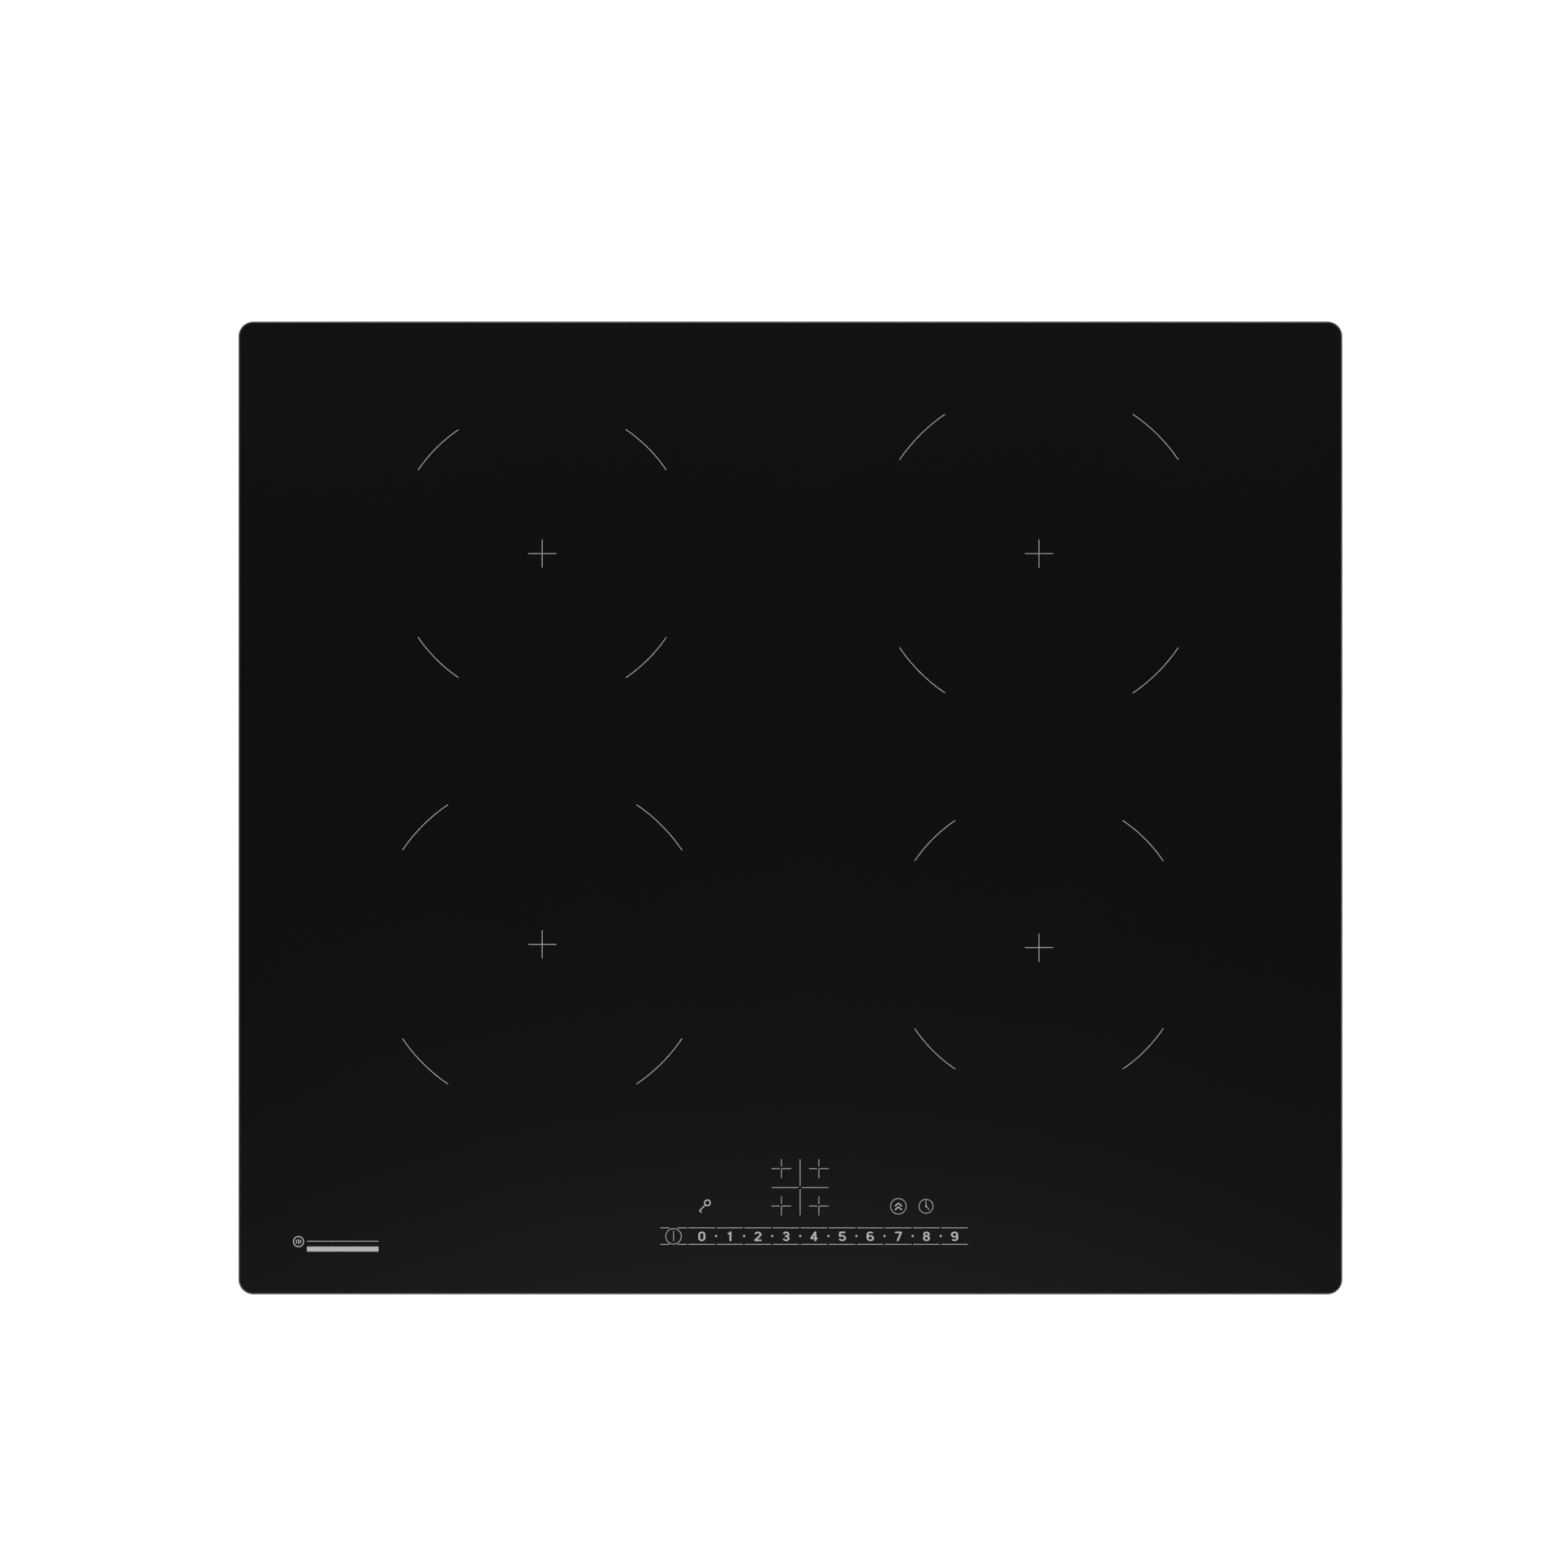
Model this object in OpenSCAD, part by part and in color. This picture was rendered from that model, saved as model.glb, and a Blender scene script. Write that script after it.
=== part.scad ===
// Built-in electric induction cooktop with four zones, seen as its maker assembles it.
// Millimetres. The origin is the centre of the worktop seating plane, which is the
// underside of the edge seal. +X is to the right, +Y to the rear, +Z up.

/* [Glass plate] */
// Width of the glass ceramic plate
glass_w = 590; // [580:1:620]
// Depth of the plate, front to back
glass_d = 520; // [505:1:530]
// Thickness of the plate
glass_t = 4; // [4:0.5:6]
// Corner radius of the plate
glass_r = 8; // [4:1:12]
// Width of the ground edge on the upper rim
glass_bevel = 0.9; // [0.5:0.1:1.5]

/* [Housing] */
// Outer width of the steel housing
pan_w = 552; // [548:1:556]
// Outer depth of the steel housing
pan_d = 482; // [478:1:486]
// Height of the housing below the worktop surface
pan_h = 52.5; // [52:0.5:60]
// Sheet thickness of the housing
sheet_t = 0.8; // [0.7:0.1:1.2]

/* [Cooking zones] */
// Diameter of the larger winding
large_winding = 176; // [170:2:180]
// Diameter of the smaller winding
small_winding = 156; // [145:1:158]
// Left and right distance of the zones from the middle
zone_x = 132.6; // [130:0.2:134]
// Distance of the rear zones from the middle
zone_rear_y = 135.9; // [133:0.1:137]
// Distance of the front zones from the middle
zone_front_y = -73; // [-76:0.5:-70]
// Diameter of the stranded winding wire
litz_d = 3; // [2.5:0.1:3.2]

/* [Cooling] */
// Diameter of the fan wheels
wheel_d = 70; // [60:1:72]
// Number of blades on a fan wheel
blades = 26; // [18:1:30]

/* [Worktop clamps] */
// Length of a clamp arm
arm_l = 52; // [46:1:53]
// Travel of a clamp screw, which sets the worktop thicknesses that fit
clamp_lift = 17; // [10:0.5:17.5]

/* [Hidden] */
SIDES = [["left", -1], ["right", 1]];
// Each zone: name, centre, winding radius, number of ferrite bars
ZONES = [
    ["rear_left", [-zone_x, zone_rear_y], small_winding / 2, 6],
    ["rear_right", [zone_x, zone_rear_y], large_winding / 2, 8],
    ["front_left", [-zone_x, zone_front_y], large_winding / 2, 8],
    ["front_right", [zone_x, zone_front_y], small_winding / 2, 6]
];
// Each clamp: name, side, centre of its pocket along Y, direction its stowed arm points
CLAMPS = [
    ["rear_left", -1, 118, -1],
    ["rear_right", 1, 118, -1],
    ["front_left", -1, -118, 1],
    ["front_right", 1, -118, 1]
];
$fn = 64;
slack = 0.01;                       // lets a cutting solid run past the face it opens

// Levels, from the cooking surface downwards
seal_t = 1.5;
glass_z0 = seal_t;
glass_z1 = seal_t + glass_t;
bead_t = 0.6;
frame_t = 0.8;
frame_z1 = glass_z0 - bead_t;
frame_z0 = frame_z1 - frame_t;
pan_z0 = -pan_h;
floor_z = pan_z0 + sheet_t;
tray_t = 1;
tray_z1 = -13;
tray_z0 = tray_z1 - tray_t;

// Coil stack
disc_t = 1;
winding_z = glass_z0 - disc_t - litz_d / 2;
former_t = 2.2;
former_z1 = winding_z - litz_d / 2;
former_z0 = former_z1 - former_t;
ferrite_t = 4.5;
ferrite_w = 15;
hub_r = 17;
wire_pitch = litz_d + 0.5;
spring_seat = 13;                   // how far the spring seats sit inside the winding's rim

// Housing openings
pan_corner_r = 8;
pan_bend_r = 2.5;
pocket_l = 64;
pocket_w = 22;
pocket_z = -27;
lid_x0 = -262;
lid_x1 = -190;
lid_y0 = 190;
notch_x0 = -240;
notch_x1 = -218;
notch_z = -33;

// Worktop clamps
clamp_x = 265;
clamp_pivot = 22;                   // distance of a clamp screw from its pocket's middle
arm_w = 16;
arm_t = 2;
screw_r = 2.5;
running_fit = 0.05;
head_h = 2.6;
head_z = pan_z0 + 0.5;
arm_z = head_z + head_h + 0.1;
screw_top = -19.5;
arm_collar = 4;
arm_tip = 2;

// Electronics
board_t = 1.6;
board_z = -47;
board_y0 = -130;
board_y1 = 96;
board_x0 = 30;
board_x1 = 240;
sink_x = 94;
sink_w = 50;
sink_y0 = -70;
sink_y1 = 96;
sink_top = -17;

// Blowers: the scroll opens from the tongue angle round to the straight outlet
blower_y = 166;
blower_z1 = -19;
blower_wall = 1.5;
scroll_r0 = 40;
scroll_r1 = 52;
tongue = -60;
outlet_y = 116;
outlet_mid = (scroll_r0 * cos(tongue) - scroll_r1) / 2;
outlet_w = scroll_r0 * cos(tongue) + scroll_r1;
inlet_r = 28;
wheel_r = wheel_d / 2;
spindle_r = 1.5;

// Controls
board_front_y = -235;
touch_x0 = -78;
touch_x1 = 104;
touch_y1 = -184;
touch_z = -6;

// ---------- shared shapes ----------

// A rounded rectangle about the origin, as exact arcs on a cross of squares
module rounded_rect(w, d, r) {
    square([w - 2 * r, d], center = true);
    square([w, d - 2 * r], center = true);
    for (x = [-1, 1], y = [-1, 1]) translate([x * (w / 2 - r), y * (d / 2 - r)]) circle(r);
}

module plate(w, d, r, z0, z1) {
    translate([0, 0, z0]) linear_extrude(z1 - z0) rounded_rect(w, d, r);
}

// A box given by its lowest and highest corners
module block(low, high) {
    translate(low) cube(high - low);
}

module rod(r, z0, z1) {
    translate([0, 0, z0]) cylinder(r = r, h = z1 - z0);
}

module tube_z(r_out, r_in, z0, z1) {
    difference() {
        rod(r_out, z0, z1);
        rod(r_in, z0 - 1, z1 + 1);
    }
}

// A slot with round ends along X, cut through in Z
module slot(length, width, z0, z1) {
    translate([0, 0, z0]) linear_extrude(z1 - z0) {
        square([length - width, width], center = true);
        for (x = [-1, 1]) translate([x * (length - width) / 2, 0]) circle(width / 2, $fn = 32);
    }
}

// A closed tub with bent lower edges, open at the top
module tub_body(w, d, r, bend, z0, z1) {
    plate(w, d, r, z0 + bend, z1);
    plate(w - 2 * bend, d - 2 * bend, r - bend, z0, z1);
    for (y = [-1, 1]) translate([-(w / 2 - r), y * (d / 2 - bend), z0 + bend])
        rotate([0, 90, 0]) cylinder(r = bend, h = w - 2 * r);
    for (x = [-1, 1]) translate([x * (w / 2 - bend), d / 2 - r, z0 + bend])
        rotate([90, 0, 0]) cylinder(r = bend, h = d - 2 * r);
    for (x = [-1, 1], y = [-1, 1]) translate([x * (w / 2 - r), y * (d / 2 - r), z0 + bend])
        rotate_extrude() translate([r - bend, 0]) circle(bend);
}

// A tube of n sides swept along points. The ring's first corner is carried from point to
// point, so that the tube doesn't twist.
function unit(v) = v / norm(v);
function heading(p, i) = unit(p[min(i + 1, len(p) - 1)] - p[max(i - 1, 0)]);
function square_to(v, t) = unit(v - (v * t) * t);
function carried(p, i) = i == 0
    ? square_to(abs(heading(p, 0)[2]) > 0.9 ? [1, 0, 0] : [0, 0, 1], heading(p, 0))
    : square_to(carried(p, i - 1), heading(p, i));
module swept_tube(points, r, n = 8) {
    count = len(points);
    rings = [for (i = [0 : count - 1])
        let (u = carried(points, i), v = cross(heading(points, i), u))
        for (k = [0 : n - 1]) points[i] + r * (cos(360 * k / n) * u + sin(360 * k / n) * v)];
    sides = [for (i = [0 : count - 2], k = [0 : n - 1])
        let (a = i * n + k, b = i * n + (k + 1) % n)
        each [[a, a + n, b + n], [a, b + n, b]]];
    ends = [[for (k = [0 : n - 1]) k], [for (k = [n - 1 : -1 : 0]) (count - 1) * n + k]];
    polyhedron(rings, concat(sides, ends));
}

// ---------- plate and seals ----------

// The ground edge is taken off by straight wedges and a turned wedge at each corner
module edge_wedges(z, bevel, up) {
    tri = [[-bevel, 0], [slack * 50, 0], [slack * 50, -up * bevel], [0, -up * bevel]];
    for (k = [0, 1], s = [-1, 1]) {
        half = (k == 0 ? glass_w : glass_d) / 2;
        run = (k == 0 ? glass_d : glass_w) - 2 * glass_r;
        rotate([0, 0, k * 90 + (s < 0 ? 180 : 0)]) translate([half, run / 2, z])
            rotate([90, 0, 0]) linear_extrude(run) polygon(tri);
    }
    for (x = [-1, 1], y = [-1, 1])
        translate([x * (glass_w / 2 - glass_r), y * (glass_d / 2 - glass_r), z])
            rotate([0, 0, x > 0 ? (y > 0 ? 0 : 270) : (y > 0 ? 90 : 180)])
                rotate_extrude(angle = 90) translate([glass_r, 0]) polygon(tri);
}

module glass_plate() {
    color([0.03, 0.03, 0.035]) difference() {
        plate(glass_w, glass_d, glass_r, glass_z0, glass_z1);
        edge_wedges(glass_z1, glass_bevel, 1);
        edge_wedges(glass_z0, glass_bevel / 2, -1);
    }
}

module ring_plate(w, d, r, band, z0, z1) {
    difference() {
        plate(w, d, r, z0, z1);
        plate(w - 2 * band, d - 2 * band, max(r - band, 2), z0 - 1, z1 + 1);
    }
}

module edge_seal() {
    color([0.12, 0.12, 0.12]) ring_plate(glass_w - 6, glass_d - 6, glass_r - 2, 9, 0, seal_t);
}

module adhesive_bead() {
    color([0.2, 0.2, 0.2])
        ring_plate(pan_w - 2, pan_d - 2, pan_corner_r - 2, 3.5, frame_z1, glass_z0);
}

frame_skirt = 13;
frame_gap = 0.15;
module glass_frame() {
    skirt_w = pan_w - 2 * (sheet_t + frame_gap);
    skirt_d = pan_d - 2 * (sheet_t + frame_gap);
    skirt_r = pan_corner_r - sheet_t - frame_gap;
    color([0.72, 0.73, 0.74]) difference() {
        union() {
            ring_plate(pan_w, pan_d, pan_corner_r, 5.6, frame_z0, frame_z1);
            difference() {
                plate(skirt_w, skirt_d, skirt_r, frame_z0 - frame_skirt, frame_z0);
                plate(skirt_w - 2 * frame_t, skirt_d - 2 * frame_t, skirt_r - frame_t,
                      frame_z0 - frame_skirt - 1, frame_z0 + 1);
            }
        }
        frame_screw_places() cylinder(r = 1.7, h = 12, center = true);
    }
}

// ---------- housing ----------

screw_xs = [-180, 0, 180];
side_screw_ys = [-190, 0, 190];
frame_screw_z = frame_z0 - 7;
module frame_screw_places() {
    for (x = screw_xs, y = [-1, 1]) translate([x, y * pan_d / 2, frame_screw_z])
        rotate([90, 0, 0]) children();
    for (x = [-1, 1], y = side_screw_ys) translate([x * pan_w / 2, y, frame_screw_z])
        rotate([0, 90, 0]) children();
}

// Self-tapping screws through the housing wall into the glass frame
module housing_screws() {
    color([0.75, 0.76, 0.78]) {
        for (x = screw_xs, y = [-1, 1]) translate([x, y * pan_d / 2, frame_screw_z])
            rotate([y < 0 ? 90 : -90, 0, 0]) sheet_screw();
        for (x = [-1, 1], y = side_screw_ys) translate([x * pan_w / 2, y, frame_screw_z])
            rotate([0, x * 90, 0]) sheet_screw();
    }
}

module sheet_screw() {
    difference() {
        union() {
            cylinder(r = 2.9, h = 0.8);
            translate([0, 0, 0.8]) cylinder(r1 = 2.9, r2 = 1.9, h = 0.5);
            translate([0, 0, -4.5]) cylinder(r = 1.6, h = 4.5);
        }
        for (a = [0, 90]) rotate([0, 0, a]) translate([-1.5, -0.35, 0.5]) cube([3, 0.7, 2]);
    }
}

module at_pockets() {
    for (c = CLAMPS) translate([c[1] * pan_w / 2, c[2], 0]) mirror([c[1] < 0 ? 1 : 0, 0, 0]) children();
}

// Parallel slots that fill a circle, under each blower
module intake_slots() {
    pitch = 5.4;
    for (s = SIDES, i = [-4 : 4]) translate([blower_x(s[1]), blower_y + i * pitch, 0])
        slot(2 * sqrt(pow(inlet_r - 1, 2) - pow(i * pitch, 2)), 3, pan_z0 - 1, floor_z + 1);
}

// Air leaves the front wall and the front of the floor
module exhaust_slots() {
    for (i = [-9 : 9]) translate([i * 22, -pan_d / 2, -34]) rotate([90, 0, 0])
        slot(14, 3, -3, 3);
    for (i = [-9 : 9]) translate([i * 22, -pan_d / 2, -42]) rotate([90, 0, 0])
        slot(14, 3, -3, 3);
    for (s = SIDES, i = [0 : 8], j = [0, 1])
        translate([s[1] * (70 + 36 * j), -164 - i * 6, 0])
            slot(28, 3, pan_z0 - 1, floor_z + 1);
}

// Stiffening beads pressed into the floor
bead_xs = [-208, -150, 0, 150, 208];
bead_depth = 1.2;
module floor_beads(extra) {
    for (x = bead_xs) translate([x, -15, 0]) rotate([0, 0, 90])
        slot(190 + 2 * extra, 6 + 2 * extra, pan_z0 - 1, pan_z0 + bead_depth + extra);
}

// Bent lugs that hold the hinge pin of the terminal lid
lid_gap = 0.5;
hinge_r = 2.2;
hinge_y = lid_y0 + 3.6;
hinge_z = floor_z + 1.9;
pin_r = 1;
knuckle_l = 12;
knuckle_xs = [lid_x0 + 9, lid_x1 - 9 - knuckle_l];
opening_y = hinge_y + 1.6;
plate_y = hinge_y + 3.1;
module hinge_lugs() {
    for (x = knuckle_xs, e = [-1.6, knuckle_l + 0.4])
        block([x + e, lid_y0 - 5, floor_z - sheet_t / 2], [x + e + 1.2, hinge_y + 2, hinge_z + 2.2]);
}

module housing_pan() {
    color([0.70, 0.71, 0.72]) difference() {
        union() {
            difference() {
                tub_body(pan_w, pan_d, pan_corner_r, pan_bend_r, pan_z0, frame_z0);
                tub_body(pan_w - 2 * sheet_t, pan_d - 2 * sheet_t, pan_corner_r - sheet_t,
                         pan_bend_r - sheet_t, floor_z, frame_z0 + 1);
            }
            at_pockets() block([-pocket_w - sheet_t, -pocket_l / 2 - sheet_t, pan_z0],
                               [-sheet_t / 2, pocket_l / 2 + sheet_t, pocket_z + sheet_t]);
            intersection() {
                floor_beads(sheet_t);
                block([-pan_w / 2 + 4, -pan_d / 2 + 4, floor_z - sheet_t / 2],
                      [pan_w / 2 - 4, pan_d / 2 - 4, 0]);
            }
            hinge_lugs();
        }
        at_pockets() block([-pocket_w, -pocket_l / 2, pan_z0 - 1], [1, pocket_l / 2, pocket_z]);
        floor_beads(0);
        intake_slots();
        exhaust_slots();
        frame_screw_places() cylinder(r = 1.9, h = 3, center = true);
        block([lid_x0, opening_y, pan_z0 - 1], [lid_x1, pan_d / 2 - 6, floor_z]);
        for (x = knuckle_xs) block([x - 2, lid_y0, pan_z0 - 1], [x + knuckle_l + 2, opening_y + 1, floor_z]);
        translate([lid_x0, hinge_y, hinge_z]) rotate([0, 90, 0]) cylinder(r = pin_r, h = lid_x1 - lid_x0);
        block([notch_x0, lid_y0, pan_z0 - 1], [notch_x1, pan_d / 2 + 1, notch_z]);
        for (c = CLAMPS) translate([c[1] * clamp_x, c[2] - c[3] * clamp_pivot, 0])
            rod(3.2, pocket_z - 1, pocket_z + sheet_t + 1);
    }
}

// Threaded bushes clinched in the ceilings of the clamp pockets
module clamp_bushes() {
    color([0.78, 0.79, 0.8])
        for (c = CLAMPS) translate([c[1] * clamp_x, c[2] - c[3] * clamp_pivot, 0]) {
            difference() {
                union() {
                    rod(5, pocket_z + sheet_t, pocket_z + sheet_t + 3.4);
                    rod(3.15, pocket_z, pocket_z + sheet_t + 1);
                }
                rod(screw_r + running_fit, pocket_z - 1, pocket_z + sheet_t + 5);
            }
        }
}

module clamp_screw(c) {
    color([0.8, 0.8, 0.78]) translate([c[1] * clamp_x, c[2] - c[3] * clamp_pivot, 0]) difference() {
        union() {
            rod(4.4, head_z, head_z + head_h);
            rod(screw_r, head_z + head_h - 1, screw_top);
        }
        for (a = [0, 90]) rotate([0, 0, a])
            block([-2.4, -0.5, head_z - 1], [2.4, 0.5, head_z + 1.5]);
    }
}

// A bent steel claw: flat arm with a round pivot end and an upturned toothed tip
module clamp_arm(c) {
    reach = arm_l - arm_w / 2;
    color([0.66, 0.67, 0.69])
        translate([c[1] * clamp_x, c[2] - c[3] * clamp_pivot, arm_z]) rotate([0, 0, c[3] * 90]) {
            difference() {
                union() {
                    cylinder(r = arm_w / 2, h = arm_t);
                    block([0, -arm_w / 2, 0], [reach, arm_w / 2, arm_t]);
                    block([reach - 1.5, -arm_w / 2, 0], [reach, arm_w / 2, arm_t + arm_tip]);
                    rod(4.2, 0, arm_collar);
                    block([0, -0.8, 0], [26, 0.8, arm_t + 1.4]);
                }
                rod(screw_r + running_fit, -1, arm_collar + 1);
                for (i = [-1 : 1]) block([reach - 2, i * 4.5 - 0.9, arm_t + 0.8],
                                         [reach + 1, i * 4.5 + 0.9, arm_t + arm_tip + 1]);
            }
        }
}

// ---------- induction coils ----------

// One stranded wire wound as a flat spiral of half turns about two near centres
module coil_winding(z) {
    turns = floor((z[2] - hub_r - litz_d / 2) / wire_pitch);
    r0 = z[2] - litz_d / 2 - turns * wire_pitch;
    color([0.72, 0.4, 0.2]) translate([z[1][0], z[1][1], winding_z])
        for (i = [0 : 2 * turns - 1]) let (even = i % 2 == 0)
            translate([even ? -wire_pitch / 4 : wire_pitch / 4, 0, 0])
                rotate([0, 0, even ? 0 : 180]) rotate_extrude(angle = 180, $fn = 48)
                    translate([r0 + i * wire_pitch / 2, 0]) circle(litz_d / 2, $fn = 24);
}

function spring_angles(z) = z[3] == 8 ? [22.5, 157.5, 247.5] : [30, 150, 270];

// Moulded wheel that carries the winding: hub, spokes, two rings and three spring seats
sensor_bore = 8;
module coil_former(z) {
    color([0.9, 0.88, 0.82]) translate([z[1][0], z[1][1], 0]) {
        translate([0, 0, former_z0]) linear_extrude(former_t) difference() {
            union() {
                circle(hub_r);
                for (r = [z[2], z[2] * 0.62]) difference() {
                    circle(r);
                    circle(r - 5);
                }
                for (i = [0 : z[3] - 1]) rotate(i * 360 / z[3]) translate([sensor_bore + 4, -ferrite_w / 2 - 1.5])
                    square([z[2] - sensor_bore - 7, ferrite_w + 3]);
                for (a = spring_angles(z)) rotate(a) translate([z[2] - spring_seat, 0]) circle(9);
            }
            circle(sensor_bore);
        }
        translate([0, 0, former_z1]) linear_extrude(litz_d) difference() {
            circle(hub_r - 3);
            circle(sensor_bore);
        }
    }
}

module ferrite_bars(z) {
    bars = z[3];
    color([0.16, 0.16, 0.17]) translate([z[1][0], z[1][1], 0])
        for (i = [0 : bars - 1]) rotate([0, 0, i * 360 / bars])
            block([hub_r + 5.5, -ferrite_w / 2, former_z0 - ferrite_t], [z[2] - 6, ferrite_w / 2, former_z0]);
}

module insulation_discs() {
    color([0.85, 0.82, 0.72]) for (z = ZONES) translate([z[1][0], z[1][1], 0])
        tube_z(z[2] + 1.5, 7, glass_z0 - disc_t, glass_z0);
}

// Sensor bead in a silicone cap that is pushed against the glass
module temp_sensors() {
    color([0.85, 0.85, 0.82]) for (z = ZONES) translate([z[1][0], z[1][1], 0]) {
        rod(6.5, former_z0 - 5, glass_z0);
        rod(3.5, former_z0 - 7.5, former_z0 - 5 + slack);
    }
}

function spring_points(x, y, z0, z1, r, turns, steps) =
    [for (i = [0 : turns * steps]) let (a = 360 * i / steps)
        [x + r * cos(a), y + r * sin(a), z0 + (z1 - z0) * i / (turns * steps)]];

// Compression springs between the coil tray and the formers
module coil_springs() {
    wire_r = 0.5;
    color([0.8, 0.8, 0.82]) for (z = ZONES, a = spring_angles(z))
        let (x = z[1][0] + (z[2] - spring_seat) * cos(a), y = z[1][1] + (z[2] - spring_seat) * sin(a))
            swept_tube(spring_points(x, y, tray_z1 + wire_r, former_z0 - wire_r, 5, 4, 10), wire_r, 6);
}

// Aluminium sheet under all four coils, with a hole below each sensor
module coil_tray() {
    tray_x = 256;
    color([0.83, 0.84, 0.85]) difference() {
        translate([0, (zone_rear_y + zone_front_y) / 2, 0])
            plate(2 * tray_x, 392, 10, tray_z0, tray_z1);
        for (z = ZONES) translate([z[1][0], z[1][1], 0]) {
            rod(13, tray_z0 - 1, tray_z1 + 1);
            for (a = [45 : 90 : 315]) rotate([0, 0, a]) translate([45, 0, 0])
                slot(30, 9, tray_z0 - 1, tray_z1 + 1);
        }
        for (y = [-40 : 70 : 170]) translate([0, y, 0]) rotate([0, 0, 90]) slot(50, 14, tray_z0 - 1, tray_z1 + 1);
        standoff_places(tray_posts) rod(2.2, tray_z0 - 1, tray_z1 + 1);
    }
}

tray_posts = [[-246, -130], [246, -130], [-246, 60], [246, 60], [0, 214], [-14, -146], [14, -146]];
board_posts = [[38, -122], [232, -122], [38, 88], [232, 88]];
module standoff_places(points) {
    for (p = points) translate([p[0], p[1], 0]) children();
}

// Moulded pillars: tall ones for the coil tray, short ones for the boards
module standoffs() {
    color([0.88, 0.87, 0.83]) {
        standoff_places(tray_posts) {
            rod(4, floor_z, tray_z0);
            rod(2, tray_z0, tray_z1 + 2);
        }
        for (s = SIDES) standoff_places([for (p = board_posts) [s[1] * p[0], p[1]]]) {
            rod(4, floor_z, board_z);
            rod(1.5, board_z, board_z + board_t + 2);
        }
        standoff_places(filter_posts) {
            rod(3.5, floor_z, board_z);
            rod(1.5, board_z, board_z + board_t + 2);
        }
    }
}

// ---------- power electronics, one module per side ----------

module power_board(s) {
    color([0.1, 0.36, 0.2]) difference() {
        mirror([s < 0 ? 1 : 0, 0, 0]) block([board_x0, board_y0, board_z], [board_x1, board_y1, board_z + board_t]);
        standoff_places([for (p = board_posts) [s * p[0], p[1]]]) rod(1.6, board_z - 1, board_z + board_t + 1);
    }
}

// Finned extrusion that the blower blows along
module heat_sink(s) {
    fins = 11;
    fin_t = 1.6;
    base = 4;
    z0 = board_z + board_t;
    color([0.8, 0.81, 0.82]) translate([s * sink_x, 0, 0])
        translate([0, sink_y1, 0]) rotate([90, 0, 0]) linear_extrude(sink_y1 - sink_y0) {
            translate([-sink_w / 2, z0]) square([sink_w, base]);
            for (i = [0 : fins - 1])
                translate([-sink_w / 2 + i * (sink_w - fin_t) / (fins - 1), z0])
                    square([fin_t, sink_top - z0]);
        }
}

// Flat transistor packages screwed against the outer fin, legs down into the board
module power_switches(s) {
    z0 = board_z + board_t;
    x0 = sink_x + sink_w / 2;
    color([0.15, 0.15, 0.16]) mirror([s < 0 ? 1 : 0, 0, 0])
        for (y = [-56, -20, 16, 52]) {
            block([x0, y, z0 + 5], [x0 + 4.8, y + 15.6, z0 + 25]);
            for (i = [0 : 2]) block([x0 + 1.8, y + 2 + i * 5.2, z0], [x0 + 2.6, y + 3.2 + i * 5.2, z0 + 5 + slack]);
            translate([x0 + 4.8, y + 7.8, z0 + 20]) rotate([0, 90, 0]) cylinder(r = 3, h = 2);
        }
}

// Resonant and smoothing capacitors in moulded boxes
module capacitors(s) {
    z0 = board_z + board_t;
    color([0.75, 0.62, 0.3]) mirror([s < 0 ? 1 : 0, 0, 0]) {
        for (y = [-104, -62, -20, 22]) block([172, y, z0], [190, y + 32, z0 + 27]);
        for (y = [-104, -62]) block([198, y, z0], [214, y + 32, z0 + 24]);
        for (y = [10, 40, 70]) translate([212, y, 0]) rod(9, z0, z0 + 25);
        for (y = [-118, -92]) block([38, y, z0], [54, y + 20, z0 + 14]);
    }
}

// ---------- blowers ----------

function blower_x(s) = s * sink_x - outlet_mid;
function scroll(grow, reach) = concat(
    [for (a = [tongue : 10 : 180])
        let (r = grow + scroll_r0 + (scroll_r1 - scroll_r0) * (a - tongue) / (180 - tongue)) r * [cos(a), sin(a)]],
    [[-scroll_r1 - grow, -reach], [scroll_r0 * cos(tongue) + grow, -reach]]
);

// Scroll case of the blower: floor with the intake, side wall, outlet and spindle bearing
module blower_housing(s) {
    reach = blower_y - outlet_y;
    z1 = floor_z + blower_wall;
    color([0.16, 0.16, 0.17]) translate([blower_x(s), blower_y, 0]) difference() {
        union() {
            difference() {
                translate([0, 0, floor_z]) linear_extrude(blower_z1 - blower_wall - floor_z)
                    polygon(scroll(0, reach));
                translate([0, 0, z1]) linear_extrude(60) polygon(scroll(-blower_wall, reach + 1));
                difference() {
                    rod(inlet_r, floor_z - 1, z1 + 1);
                    rod(12, floor_z - 2, z1 + 2);
                    for (a = [0 : 60 : 120]) rotate([0, 0, a]) block([-40, -1.5, floor_z - 2], [40, 1.5, z1 + 2]);
                }
            }
            rod(4, z1 - blower_wall / 2, z1 + 14);
        }
        rod(spindle_r + running_fit, z1 + 1, z1 + 20);
    }
}

module blower_cover(s) {
    color([0.2, 0.2, 0.21]) translate([blower_x(s), blower_y, 0]) difference() {
        translate([0, 0, blower_z1 - blower_wall]) linear_extrude(blower_wall)
            polygon(scroll(0, blower_y - outlet_y));
        rod(inlet_r, blower_z1 - 3, blower_z1 + 1);
    }
}

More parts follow.
